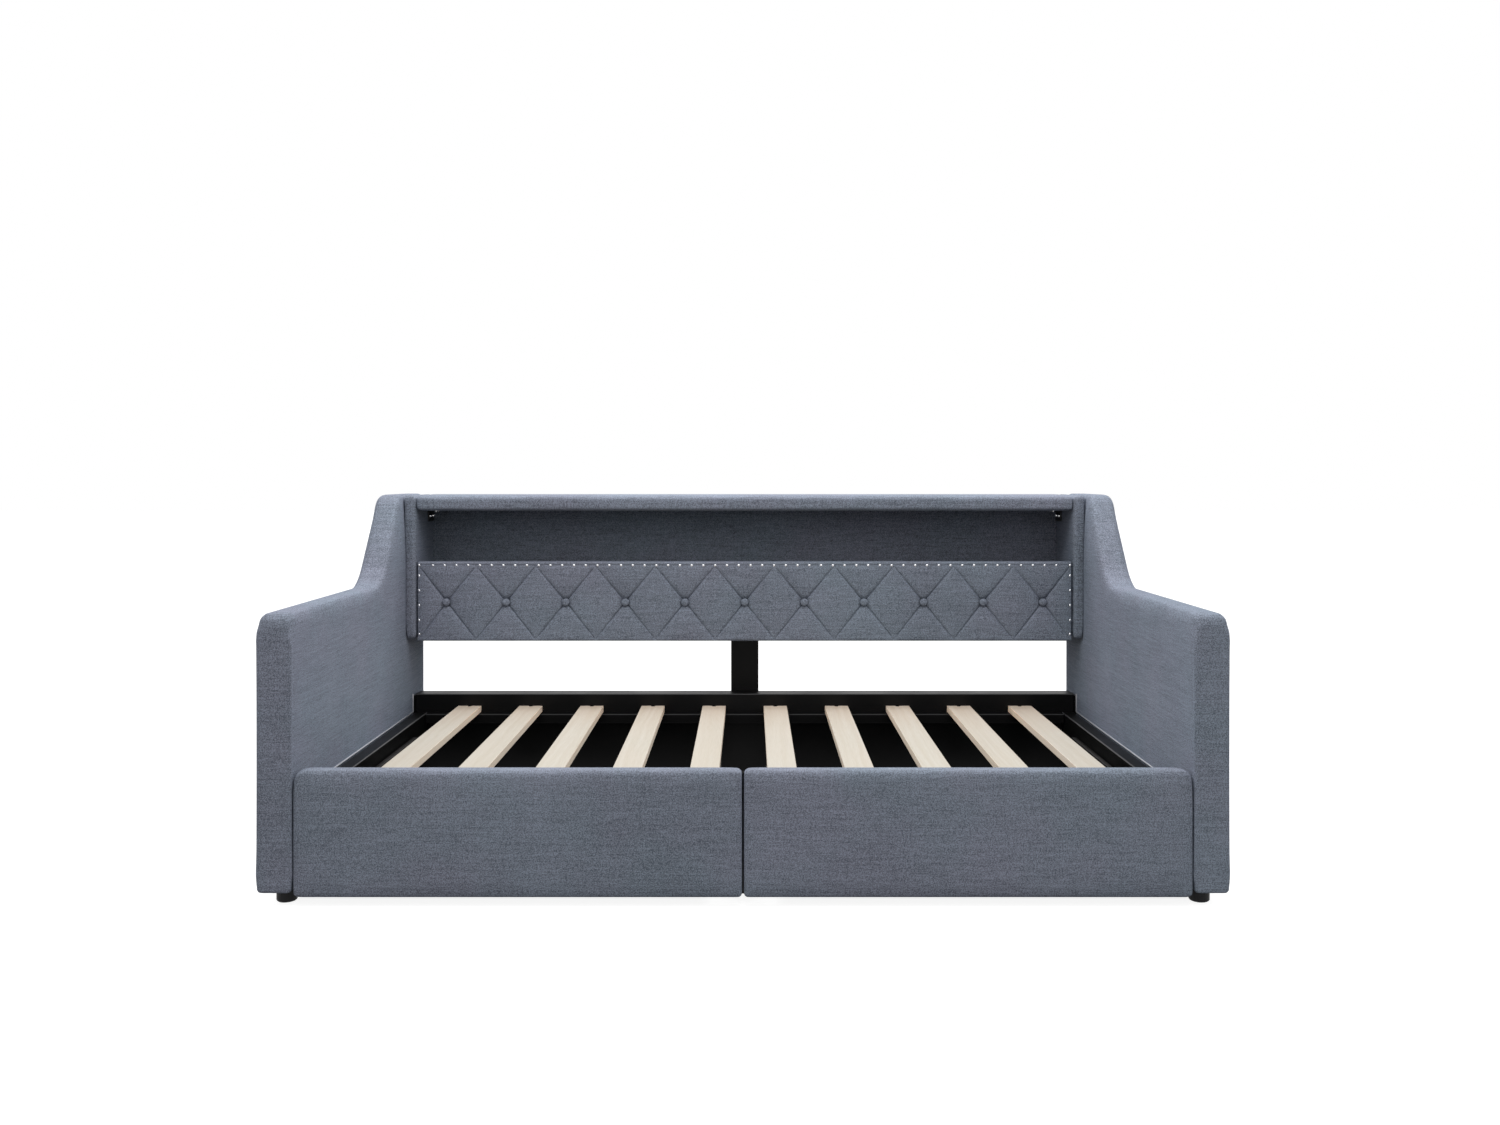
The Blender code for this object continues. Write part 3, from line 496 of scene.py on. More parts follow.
def make_camera():
    """The photograph's camera: level, with the picture shifted down."""
    data = bpy.data.cameras.new("camera")
    data.sensor_width = SENSOR
    data.lens = SENSOR * FOCAL_PIXELS / PHOTO_WIDTH
    data.shift_x = (PHOTO_WIDTH / 2 - AXIS_COLUMN) / PHOTO_WIDTH
    data.shift_y = (HORIZON_ROW - PHOTO_HEIGHT / 2) / PHOTO_WIDTH
    camera = bpy.data.objects.new("camera", data)
    camera.location = CAMERA_PLACE
    camera.rotation_euler = (math.pi / 2, 0.0, 0.0)
    bpy.context.scene.collection.objects.link(camera)
    bpy.context.scene.camera = camera


def make_lamp(name, place, target, width, depth, power):
    """A soft rectangular lamp that faces a point."""
    data = bpy.data.lights.new(name, "AREA")
    data.shape = "RECTANGLE"
    data.size = width
    data.size_y = depth
    data.energy = power
    lamp = bpy.data.objects.new(name, data)
    lamp.location = place
    lamp.rotation_euler = (Vector(target) - Vector(place)).to_track_quat("-Z", "Y").to_euler()
    bpy.context.scene.collection.objects.link(lamp)


def plain_shader(tree, kind, grey):
    """A shader node of one grey."""
    made = tree.nodes.new("ShaderNode" + kind)
    made.inputs["Color"].default_value = (grey, grey, grey, 1.0)
    return made


def shows_background(tree):
    """1 where the camera, or a mirror or glass, sees the surface."""
    path = tree.nodes.new("ShaderNodeLightPath")
    seen = path.outputs["Is Camera Ray"]
    for kind in ("Is Glossy Ray", "Is Transmission Ray"):
        most = tree.nodes.new("ShaderNodeMath")
        most.operation = "MAXIMUM"
        tree.links.new(seen, most.inputs[0])
        tree.links.new(path.outputs[kind], most.inputs[1])
        seen = most.outputs[0]
    return seen


def show_either(tree, unseen, seen, output):
    """Links one shader for light rays and another for where the surface is seen."""
    mixed = tree.nodes.new("ShaderNodeMixShader")
    tree.links.new(shows_background(tree), mixed.inputs[0])
    tree.links.new(unseen.outputs[0], mixed.inputs[1])
    tree.links.new(seen.outputs[0], mixed.inputs[2])
    tree.links.new(mixed.outputs[0], tree.nodes.new(output).inputs["Surface"])


def make_world(level):
    """White where it is seen, and a plain grey dome for the light."""
    world = bpy.data.worlds.new("studio")
    bpy.context.scene.world = world
    world.use_nodes = True
    tree = world.node_tree
    tree.nodes.clear()
    white = plain_shader(tree, "Background", 1.0)
    dome = plain_shader(tree, "Background", 1.0)
    dome.inputs["Strength"].default_value = level
    show_either(tree, dome, white, "ShaderNodeOutputWorld")


def floor_material(albedo, glow, catch):
    """Pale for the light, and a bright shadow catcher where it is seen."""
    material = bpy.data.materials.new("pale_floor")
    material.use_nodes = True
    tree = material.node_tree
    tree.nodes.clear()
    plain = plain_shader(tree, "BsdfDiffuse", albedo)
    catcher = plain_shader(tree, "BsdfDiffuse", catch)
    shine = tree.nodes.new("ShaderNodeEmission")
    shine.inputs["Strength"].default_value = glow
    both = tree.nodes.new("ShaderNodeAddShader")
    tree.links.new(catcher.outputs[0], both.inputs[0])
    tree.links.new(shine.outputs[0], both.inputs[1])
    show_either(tree, plain, both, "ShaderNodeOutputMaterial")
    return material


def make_floor(albedo, glow, catch):
    """A pale floor that shows white and keeps the object's shadow."""
    far = FLOOR_REACH
    points = [(-far, -far, 0), (far, -far, 0), (far, far, 0), (-far, far, 0)]
    material = floor_material(albedo, glow, catch)
    floor = add_object("floor", points, [(0, 1, 2, 3)], material, False)


make_camera()
make_world(level=1.0)
make_floor(albedo=0.15, glow=0.88, catch=0.35)
make_lamp("overhead_front", (0.0, -1.2, 2.8), (0.0, -0.9, 0.3), width=3.4, depth=1.2, power=40.0)
make_lamp("overhead_rear", (0.0, 0.9, 2.8), (0.0, 0.6, 0.3), width=3.4, depth=1.2, power=68.0)
bpy.context.scene.view_settings.view_transform = "Standard"


# Padded pieces

def even_copy(node, voxel):
    """The node's solid as even quads, with every point back on the solid."""
    source = bmesh.new()
    source.from_mesh(NODES[node].data)
    bmesh.ops.remove_doubles(source, verts=source.verts, dist=WELD_DISTANCE)
    mesh = bpy.data.meshes.new(node + "_even")
    source.to_mesh(mesh)
    tree = BVHTree.FromBMesh(source)
    source.free()
    made = bpy.data.objects.new(node + "_even", mesh)
    bpy.context.scene.collection.objects.link(made)
    remesh = made.modifiers.new("even", "REMESH")
    remesh.mode = "VOXEL"
    remesh.voxel_size = voxel
    graph = bpy.context.evaluated_depsgraph_get()
    even = bpy.data.meshes.new_from_object(made.evaluated_get(graph))
    made.modifiers.clear()
    made.data = even
    points = coordinates(even)
    move_points(even, [tree.find_nearest(Vector(p))[0] for p in points])
    return made


def evened(mesh, values, rounds):
    """The values, each averaged with its neighbours' along the mesh's edges."""
    pairs = np.empty(len(mesh.edges) * 2, dtype=int)
    mesh.edges.foreach_get("vertices", pairs)
    one, other = pairs[0::2], pairs[1::2]
    count = np.bincount(pairs, minlength=len(values))
    for _ in range(rounds):
        total = np.bincount(one, values[other], len(values))
        total += np.bincount(other, values[one], len(values))
        values = (values + total / count) / 2
    return values


def blown(made, pressure):
    """The places of the piece's points after a short cloth simulation under pressure."""
    cloth = made.modifiers.new("cloth", "CLOTH")
    settings = cloth.settings
    settings.quality = 3
    settings.mass = 0.3
    settings.tension_stiffness = 12.0
    settings.compression_stiffness = 12.0
    settings.shear_stiffness = 5.0
    settings.bending_stiffness = 1.5
    settings.use_pressure = True
    settings.uniform_pressure_force = pressure
    settings.effector_weights.gravity = 0.0
    cloth.collision_settings.use_collision = False
    for step in range(1, SWELL_FRAMES + 1):
        bpy.context.scene.frame_set(step)
    graph = bpy.context.evaluated_depsgraph_get()
    points = coordinates(made.evaluated_get(graph).data)
    made.modifiers.clear()
    return points


def swell(made, pressure, deepest, flat_back):
    """Blows the fabric up: its two broad sides crown, up to a cap, and its edges stay."""
    start = coordinates(made.data)
    low, high = start.min(axis=0), start.max(axis=0)
    thin = np.argmin(high - low)
    outward = np.zeros_like(start)
    outward[:, thin] = vectors(made.data.vertex_normals, "vector")[:, thin]
    if flat_back:
        outward = np.minimum(outward, 0.0)
    moved = blown(made, pressure) - start
    out = deepest * np.tanh((moved * outward).sum(axis=1) / deepest)
    out = evened(made.data, out, 12)
    move_points(made.data, start + outward * out[:, None])


def smoothed(made, rounds):
    """Evens out the voxel steps."""
    smooth = made.modifiers.new("smooth", "CORRECTIVE_SMOOTH")
    smooth.factor = 0.5
    smooth.iterations = rounds
    smooth.use_only_smooth = True
    graph = bpy.context.evaluated_depsgraph_get()
    points = coordinates(made.evaluated_get(graph).data)
    made.modifiers.clear()
    move_points(made.data, points)


def fit_box(made, node, less, more):
    """Scales the piece to its node's box, and to a few millimetres more at either end."""
    points = coordinates(made.data)
    low, high = [np.array(corner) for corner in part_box(node)]
    low, high = low - np.array(less) * MM, high + np.array(more) * MM
    small, large = points.min(axis=0), points.max(axis=0)
    move_points(made.data, low + (points - small) * (high - low) / (large - small))


def finish_padded(made, node, body):
    """Names a padded piece after its node, gives it its fabric and puts it on its body."""
    made.name = node + "_cover"
    made.data.name = node + "_cover"
    made.data.materials.clear()
    made.data.materials.append(linen)
    made.data.polygons.foreach_set("use_smooth", [True] * len(made.data.polygons))
    finer = made.modifiers.new("finer", "SUBSURF")
    finer.levels = 1
    finer.render_levels = 1
    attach(made, body)
    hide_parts(node)


def mirrored(made, name):
    """The same piece on the other side."""
    mesh = made.data.copy()
    points = coordinates(mesh)
    points[:, 0] *= -1
    move_points(mesh, points)
    mesh.flip_normals()
    twin = bpy.data.objects.new(name, mesh)
    bpy.context.scene.collection.objects.link(twin)
    return twin


def padded_piece(
    node, body, voxel, rounds, twin=None, twin_body="root", shape=None, deepest=3.0,
    less=(0, 0, 0), more=(0, 0, 0), flat_back=False,
):
    """A simulated cover over a soft node, and its mirror image over the twin; swells in millimetres."""
    made = even_copy(node, voxel)
    if shape:
        move_points(made.data, shape(coordinates(made.data)))
    smoothed(made, rounds)
    swell(made, PRESSURE, deepest * MM, flat_back)
    fit_box(made, node, less, more)
    if twin:
        finish_padded(mirrored(made, twin), twin, twin_body)
    finish_padded(made, node, body)


def rising(values, start, end):
    """0 at the start and 1 at the end and beyond; it falls where the end lies below the start."""
    return np.clip((values - start) / (end - start), 0.0, 1.0)


def taut_edges(points, outer_push, inner_push):
    """Brings out the front's upright edges, which a taut cover keeps crisp; a piece on the left."""
    low, high = points.min(axis=0), points.max(axis=0)
    x, y, z = points.T
    near = rising(y, low[1] + 0.014, low[1])
    top = z[near > 0.0].max()
    tall = rising(z, low[2], low[2] + 0.04) * rising(z, top, top - 0.08)
    bent = points.copy()
    bent[:, 0] += inner_push * near * tall * np.exp((x - high[0]) / 0.008)
    bent[:, 0] -= outer_push * near * tall * np.exp((low[0] - x) / 0.008)
    return bent


def fading(y, front):
    """1 until 40 mm behind the side panel's front, and 0 from 120 mm behind it."""
    return rising(y, front + 0.120, front + 0.040)


def lean_out(points, front):
    """How far the wing and the side panel lean out towards their tops, near the panel's front."""
    y, z = points[:, 1], points[:, 2]
    tall = np.clip((z - LEAN_START) / LEAN_RISE, 0.0, None) ** 1.5
    return LEAN * tall * rising(y, front - 0.150, front - 0.030) * fading(y, front)


def panel_crevice(points, front, bottom):
    """How far the wing's inner face draws back beside the side panel."""
    y, z = points[:, 1], points[:, 2]
    beside = rising(y, front - 0.011, front - 0.001) * fading(y, front)
    return CREVICE * beside * rising(z, bottom - 0.011, bottom + 0.001)


def crisp_front(points):
    """The left arm's form: taut upright edges at its front, rounder at the top corner."""
    low, high = points.min(axis=0), points.max(axis=0)
    x, y, z = points.T
    bent = taut_edges(points, 3.2 * MM, 6.0 * MM)
    near = rising(y, low[1] + 0.030, low[1])
    below = z[near > 0.5].max() - z
    outer = rising(x, low[0] + 0.025, low[0])
    bent[:, 0] -= 4.2 * MM * near * outer * np.exp(-(((below - 0.036) / 0.014) ** 2))
    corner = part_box("shelf_left_side")[0]
    inward = (x - low[0]) / (high[0] - low[0])
    bent[:, 0] -= inward * (lean_out(points, corner.y) + panel_crevice(points, corner.y, corner.z))
    return bent


def taut_panel(points):
    """A left side panel's form: taut upright edges at its front, and a lean along the wing."""
    low, high = points.min(axis=0), points.max(axis=0)
    bent = taut_edges(points, 6.0 * MM, 1.5 * MM)
    outward = (high[0] - points[:, 0]) / (high[0] - low[0])
    bent[:, 0] -= outward * lean_out(points, low[1])
    return bent


def soft_corners(points):
    """A left drawer front's form: its upper corners and its outer lower corner are a little round."""
    low, high = points.min(axis=0), points.max(axis=0)
    x, z = points[:, 0], points[:, 2]
    up = (z - low[2]) / (high[2] - low[2])
    bent = taut_edges(points, 1.0 * MM, 0.6 * MM)
    down = 1.7 * MM * rising(x, high[0] - 0.036, high[0]) ** 2
    down += 4.0 * MM * rising(x, low[0] + 0.040, low[0]) ** 2
    bent[:, 2] -= down * rising(up, 0.7, 1.0)
    bent[:, 2] += 2.5 * MM * rising(x, low[0] + 0.016, low[0]) ** 2 * rising(up, 0.2, 0.0)
    return bent


padded_piece(
    "left_arm", "root", voxel=0.005, rounds=1, twin="right_arm", shape=crisp_front,
    less=(3.5, 1, 1.5), more=(1.2, 0, 2),
)
padded_piece(
    "left_drawer_front", "left_drawer", voxel=0.005, rounds=1,
    twin="right_drawer_front", twin_body="right_drawer", shape=soft_corners, deepest=5.0,
    less=(0.5, 1, 2.8), more=(0.3, 0, 1.5), flat_back=True,
)
padded_piece(
    "shelf_left_side", "root", voxel=0.004, rounds=1, twin="shelf_right_side", shape=taut_panel,
    less=(8.2, 0, 0), more=(0.2, 0, 2.5),
)
padded_piece("shelf_back", "root", voxel=0.008, rounds=2)
padded_piece("shelf_top", "root", voxel=0.005, rounds=2, more=(0, 0, 2.3))


# Tufted panel

def button_places():
    """The X places of the buttons."""
    half = (BUTTONS - 1) / 2
    return [(i - half) * BUTTON_PITCH for i in range(BUTTONS)]


def tuft_columns(per_half=18):
    """X places of the grid's columns, and how far each is from its button to the apex, from 0 to 1."""
    knots = [(-NAIL_EDGE, 1.0)]
    for i, x in enumerate(button_places()):
        knots.append((x, 0.0))
        if i < BUTTONS - 1:
            knots.append((x + BUTTON_PITCH / 2, 1.0))
    knots.append((NAIL_EDGE, 1.0))
    columns = []
    for (x0, a0), (x1, a1) in zip(knots, knots[1:]):
        for i in range(per_half):
            t = i / per_half
            columns.append((x0 + (x1 - x0) * t, a0 + (a1 - a0) * t))
    columns.append(knots[-1])
    return columns


def clustered(count):
    """Numbers from 0 to 1, closer together near both ends."""
    return [0.5 - 0.5 * math.cos(math.pi * i / count) for i in range(count + 1)]


def crease_lines():
    """Each crease as (button x, button z, end x, end z)."""
    lines = []
    for i, x in enumerate(button_places()):
        for side in (-1, 1):
            outer = (i == 0 and side < 0) or (i == BUTTONS - 1 and side > 0)
            end = side * NAIL_EDGE if outer else x + side * BUTTON_PITCH / 2
            lines.append((x, BUTTON_LEVEL, end, CREASE_TOP))
            lines.append((x, BUTTON_LEVEL, end, CREASE_BOTTOM))
    return lines


def crease_depth(x, z, line):
    """One crease's depth at each place: a sharp fold in a soft valley, deepest at its button."""
    x0, z0, x1, z1 = line
    run_x, run_z = x1 - x0, z1 - z0
    along = (x - x0) * run_x + (z - z0) * run_z
    t = np.clip(along / (run_x**2 + run_z**2), 0.0, 1.0)
    off = np.hypot(x - (x0 + run_x * t), z - (z0 + run_z * t))
    valley = SHARP_DEPTH * np.exp(-off / SHARP_REACH) + VALLEY_DEPTH * np.exp(-off / VALLEY_REACH)
    fade = 1.0 - 0.55 * t
    return valley * fade * (0.25 + 0.75 * rising(t, 1.03, 0.87))


def button_pit(r):
    """How deep the front is drawn in at a distance from a button: a wide dip and a steep well."""
    dip = DIP_DEPTH * np.exp(-((r / DIP_REACH) ** 1.5))
    well = WELL_DEPTH / (1.0 + np.exp((r - BUTTON_RADIUS - WELL_GAP) / WELL_EDGE))
    return dip + well


def tuft_recess(x, z):
    """How far behind its highest point the tufted front lies, for arrays of places."""
    recess = np.zeros_like(x)
    for line in crease_lines():
        recess = np.maximum(recess, crease_depth(x, z, line))
    for bx in button_places():
        recess = recess + button_pit(np.hypot(x - bx, z - BUTTON_LEVEL))
    nail_line = np.minimum(np.abs(z - NAIL_LEVEL), np.abs(np.abs(x) - NAIL_EDGE))
    return recess + GROOVE_DEPTH * np.exp(-nail_line / GROOVE_REACH)


def rows_above(start, end, count):
    """Levels from one height to another, without the first."""
    return [start + (end - start) * t for t in clustered(count)[1:]]


def column_levels(a, bottom, top):
    """The levels of one column of the grid; two of its rows run beside the creases."""
    a = max(0.03, a)
    dip = BUTTON_LEVEL + (CREASE_BOTTOM + 4.0 * MM - BUTTON_LEVEL) * a
    rise = BUTTON_LEVEL + (CREASE_TOP - 2.0 * MM - BUTTON_LEVEL) * a
    levels = [bottom + 0.3 * MM + (dip - bottom) * t for t in clustered(16)[:-1]]
    levels.append(dip)
    levels += rows_above(dip, rise, 22)
    levels += rows_above(rise, NAIL_LEVEL, 12)
    levels += rows_above(NAIL_LEVEL, top - 0.3 * MM, 8)
    return levels


def tuft_grid(low, high):
    """X and Z of the grid's points, column by column, up to the panel's rim."""
    wide = high.x - NAIL_EDGE
    rim = [high.x - 0.4 * MM - wide * share for share in (0.0, 0.2, 0.45, 0.75)]
    columns = [(-x, 1.0) for x in rim] + tuft_columns() + [(x, 1.0) for x in reversed(rim)]
    places = np.array([[(x, z) for z in column_levels(a, low.z, high.z)] for x, a in columns])
    return places[..., 0], places[..., 1]


def tuft_surface(x, z, low, high):
    """Y of the panel's front over the grid, with its border rolled back."""
    border = np.minimum(high.x - np.abs(x), np.minimum(z - low.z, high.z - z))
    border = np.clip(border, 0.0, PANEL_ROLL)
    roll = PANEL_ROLL - np.sqrt(np.maximum(0.0, PANEL_ROLL**2 - (PANEL_ROLL - border) ** 2))
    return low.y + tuft_recess(x, z) + roll * 0.9


def grid_faces(count_x, count_z):
    """The faces of a grid whose points run column by column."""
    faces = []
    for i in range(count_x - 1):
        for j in range(count_z - 1):
            a = i * count_z + j
            faces.append((a, a + count_z, a + count_z + 1, a + 1))
    return faces


def grid_rim(count_x, count_z):
    """The numbers of the points round the grid, in order."""
    rim = [i * count_z for i in range(count_x)]
    rim += [(count_x - 1) * count_z + j for j in range(1, count_z)]
    rim += [i * count_z + count_z - 1 for i in range(count_x - 2, -1, -1)]
    rim += range(count_z - 2, 0, -1)
    return rim


def behind_rim(point, depth, inset, low, high):
    """A point of the rim, moved back by a share of the panel's depth and inwards by the inset."""
    x, y, z = point
    if abs(x) > high.x - PANEL_RIM:
        x -= math.copysign(inset, x)
    if z < low.z + PANEL_RIM:
        z += inset
    if z > high.z - PANEL_RIM:
        z -= inset
    return x, y + (high.y - y) * depth, z


def close_behind(points, faces, rim, low, high):
    """Closes the grid with three rings of points behind its rim, and a flat back."""
    count = len(rim)
    ring = rim
    for depth, inset in ((0.35, 0.0), (0.9, 0.0), (1.0, PANEL_RIM)):
        start = len(points)
        points += [behind_rim(points[k], depth, inset, low, high) for k in rim]
        behind = list(range(start, start + count))
        for k in range(count):
            m = (k + 1) % count
            faces.append((ring[m], ring[k], behind[k], behind[m]))
        ring = behind
    faces.append(tuple(ring))


def make_tufted():
    """The tufted front panel: a grid whose rows follow the creases, closed at the sides and behind."""
    low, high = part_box("tufted_panel")
    x, z = tuft_grid(low, high)
    y = tuft_surface(x, z, low, high)
    count_x, count_z = x.shape
    points = [(x[i, j], y[i, j], z[i, j]) for i in range(count_x) for j in range(count_z)]
    faces = grid_faces(count_x, count_z)
    close_behind(points, faces, grid_rim(count_x, count_z), low, high)
    panel = add_object("tufted_panel_cover", points, faces, linen)
    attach(panel, "root")
    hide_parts("tufted_panel")


def make_buttons(front):
    """The eleven covered buttons; the profile lists (along in mm, share of the radius)."""
    profile = [
        (-6.5, 0.8), (-2.0, 0.98), (0.6, 1.0), (2.2, 0.97), (3.5, 0.88), (4.5, 0.72), (5.2, 0.5),
        (5.6, 0.26), (5.7, 0.08),
    ]
    profile = [(along * MM, share * BUTTON_RADIUS) for along, share in profile]
    buttons = []
    for bx in button_places():
        centre = (bx, front + BUTTON_SUNK, BUTTON_LEVEL)
        buttons.append(turned(profile, centre, (0, -1, 0), 28))
    tuft_buttons = add_object("tuft_buttons", *gather(buttons), linen)
    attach(tuft_buttons, "root")


def nail_places():
    """X and Z of every nailhead, the top row first, and how far it is sunk."""
    half_row = [NAIL_START + NAIL_PITCH * i for i in range(NAILS_PER_HALF)] + [NAIL_EDGE]
    places = [(side * x, NAIL_LEVEL) for side in (-1, 1) for x in half_row]
    places += [(side * NAIL_EDGE, z) for side in (-1, 1) for z in NAIL_LEVELS]
    return [(x, z, NAIL_SUNK_SIDE if abs(x) == NAIL_EDGE else NAIL_SUNK_TOP) for x, z in places]


def make_nails(front):
    """The row of domed nailheads; the profile lists (along in mm, share of the radius)."""
    profile = [
        (-1.2, 0.6), (-0.3, 0.98), (0.0, 1.0), (0.6, 0.94), (1.3, 0.78), (1.9, 0.52), (2.2, 0.26),
        (2.3, 0.06),
    ]
    profile = [(along * MM, share * NAIL_RADIUS) for along, share in profile]
    nails = []
    for i, (x, z, sunk) in enumerate(nail_places()):
        y = front + float(tuft_recess(np.array([x]), np.array([z]))[0]) + sunk
        nails.append(turned(profile, (x, y, z), (0, -1, 0), 16, i * 0.7))
    nailheads = add_object("nailheads", *gather(nails), chrome)
    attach(nailheads, "root")


make_tufted()
tuft_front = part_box("tufted_panel")[0].y
make_buttons(tuft_front)
make_nails(tuft_front)


# Slats

def inset_outline(outline, amount):
    """The outline moved inwards; it runs counter-clockwise."""
    moved = []
    count = len(outline)
    for i in range(count):
        before = Vector(outline[i - 1])
        here = Vector(outline[i])
        after = Vector(outline[(i + 1) % count])
        first = (here - before).normalized()
        second = (after - here).normalized()
        side = Vector((-first.y, first.x)) + Vector((-second.y, second.x))
        side.normalize()
        grow = max(0.35, side.dot(Vector((-first.y, first.x))))
        moved.append(here + side * (amount / grow))
    return moved


def eased_slab(outline, low, high, ease):
    """A slab over the outline whose top and bottom edges are rounded over."""
    levels = [(low, ease), (low + ease * 0.3, ease * 0.3), (low + ease, 0.0)]
    levels += [(high - ease, 0.0), (high - ease * 0.3, ease * 0.3), (high, ease)]
    rings = []
    for level, amount in levels:
        rings.append([(p[0], p[1], level) for p in inset_outline(outline, amount)])
    return join_rings(rings)


def make_slat(number):
    """One slat with a round-ended notch in each end."""
    node = f"slat_{number:02d}"
    low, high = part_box(node)
    middle = (low.x + high.x) / 2
    notch = NOTCH_RADIUS
    arc = [math.pi * i / 10 for i in range(11)]
    outline = [(low.x, low.y), (middle - notch, low.y)]
    outline += [(middle - notch * math.cos(a), low.y + notch + notch * math.sin(a)) for a in arc]
    outline += [(middle + notch, low.y), (high.x, low.y), (high.x, high.y), (middle + notch, high.y)]
    outline += [(middle + notch * math.cos(a), high.y - notch - notch * math.sin(a)) for a in arc]
    outline += [(middle - notch, high.y), (low.x, high.y)]
    slab = eased_slab(outline, low.z, high.z, SLAT_EASE)
    slat = add_object(node + "_planed", *slab, wood, False)
    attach(slat, "root")
    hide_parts(node)


for number in range(1, 11):
    make_slat(number)


# Pale strips on the rails, painted as their edge highlights

def highlight_strip(name, low, high):
    """A thin pale strip with eased edges between two corners, painted as an edge highlight."""
    outline = [(low[0], low[1]), (high[0], low[1]), (high[0], high[1]), (low[0], high[1])]
    band = add_object(name, *eased_slab(outline, low[2], high[2], BAND_EASE), highlight_strip_grey)
    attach(band, "root")


def rail_highlight_strips(side, word):
    """One end's two pale strips, painted as highlights: along the side rail's top, and on the end of
    the rear rail.
    """
    low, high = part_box(f"{word}_side_rail")
    rear_low, rear_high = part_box("rear_rail")
    outer = low.x if side < 0 else high.x
    left, right = sorted((outer - side * 3.0 * MM, outer + side * 0.8 * MM))
    start = (left, low.y, high.z - 2.0 * MM)
    end = (right, high.y, high.z + 0.5 * MM)
    highlight_strip(f"{word}_rail_highlight_strip", start, end)
    start = (left, rear_low.y - 0.6 * MM, high.z)
    end = (right, rear_low.y + 2.0 * MM, rear_high.z)
    highlight_strip(f"{word}_rail_end_highlight_strip", start, end)


rail_highlight_strips(-1, "left")
rail_highlight_strips(1, "right")


# Screws and bolts

def pan_screw(centre, axis, radius, rim=0.1, crown=0.62):
    """A domed screw head; the points of its inner rings dip into a cross recess."""
    points = turned([(0.0, radius), (rim * radius, radius)], centre, axis, 32)[0]
    axis, first, second = axes_round(axis)
    rings = [points[:32], points[32:]]
    for share in (0.97, 0.9, 0.8, 0.68, 0.56, 0.45, 0.34, 0.24, 0.14, 0.05):
        ring = []
        for i in range(32):
            angle = 2 * math.pi * i / 32
            a, b = share * math.cos(angle), share * math.sin(angle)
            height = rim + crown * math.sqrt(1.0 - share**2)
            if min(abs(a), abs(b)) < CROSS_WIDTH and share < CROSS_REACH:
                height -= CROSS_DEPTH
            out = first * a + second * b
            ring.append(Vector(centre) + axis * (height * radius) + out * radius)
        rings.append(ring)
    return join_rings(rings)


def socket_bolt(centre, axis, radius):
    """A button-head bolt; its profile lists (along, share of the radius, whether it is hexagonal)."""
    profile = [
        (0.0, 1.0, False), (0.16, 1.0, False), (0.34, 0.93, False), (0.47, 0.8, False),
        (0.54, 0.64, False), (0.54, 0.44, True), (0.2, 0.42, True), (0.17, 0.06, False),
    ]
    axis, first, second = axes_round(axis)
    rings = []
    for along, share, six in profile:
        ring = []
        for i in range(36):
            angle = 2 * math.pi * i / 36
            wide = share / math.cos(angle % (math.pi / 3) - math.pi / 6) if six else share
            out = first * math.cos(angle) + second * math.sin(angle)
            ring.append(Vector(centre) + axis * (along * radius) + out * (wide * radius))
        rings.append(ring)
    return join_rings(rings)


def bracket_screws(side, word):
    """One corner bracket's screws: two into the side panel and two into the top board."""
    low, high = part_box(f"{word}_corner_bracket")
    wall = low.x if side < 0 else high.x
    heads = []
    for share in (0.26, 0.76):
        y = low.y + share * (high.y - low.y)
        beside = (wall - side * BRACKET_THICKNESS, y, low.z + SCREW_UP)
        above = (wall - side * SCREW_IN, y, high.z - BRACKET_THICKNESS)
        heads.append(pan_screw(beside, (-side, 0, 0), SCREW_RADIUS, 0.04, 0.95))
        heads.append(pan_screw(above, (0, 0, -1), SCREW_RADIUS, 0.04, 0.95))
    return heads


def make_bolts():
    """The bolts of the post and of the rear rail's ends, seen from behind."""
    post_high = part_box("center_post")[1]
    low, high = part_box("rear_rail")
    bolts = []
    for x in (-BOLT_SPREAD, BOLT_SPREAD):
        for share in (0.3, 0.7):
            z = low.z + share * (high.z - low.z)
            bolts.append(socket_bolt((x, post_high.y, z), (0, 1, 0), BOLT_RADIUS))
    for x in (low.x + BOLT_FROM_END, high.x - BOLT_FROM_END):
        bolts.append(socket_bolt((x, high.y, (low.z + high.z) / 2), (0, 1, 0), BOLT_RADIUS))
    frame_bolts = add_object("frame_bolts", *gather(bolts), steel_black)
    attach(frame_bolts, "root")


def board_screws(name):
    """The screws in one drawer's sides: three near the front and two, lower, near the back."""
    bottom_low, bottom_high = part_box(f"{name}_bottom")
    middle = (bottom_low.x + bottom_high.x) / 2
    heads = []
    for wall in ("inner_side", "outer_side"):
        low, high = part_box(f"{name}_{wall}")
        side = 1 if low.x > middle else -1
        face = high.x if side > 0 else low.x
        tall = high.z - low.z
        places = [(low.y + SCREW_FROM_EDGE, low.z + share * tall) for share in (0.15, 0.5, 0.85)]
        places += [(high.y - SCREW_FROM_EDGE, low.z + up) for up in LOW_SCREW_HEIGHTS]
        for y, z in places:
            heads.append(pan_screw((face, y, z), (side, 0, 0), BOARD_SCREW_RADIUS))
    made = add_object(f"{name}_screws", *gather(heads), steel_black)
    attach(made, name)


screws = bracket_screws(-1, "left") + bracket_screws(1, "right")
bracket_heads = add_object("bracket_screws", *gather(screws), zinc)
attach(bracket_heads, "root")
make_bolts()
board_screws("left_drawer")
board_screws("right_drawer")


# Linings and staples

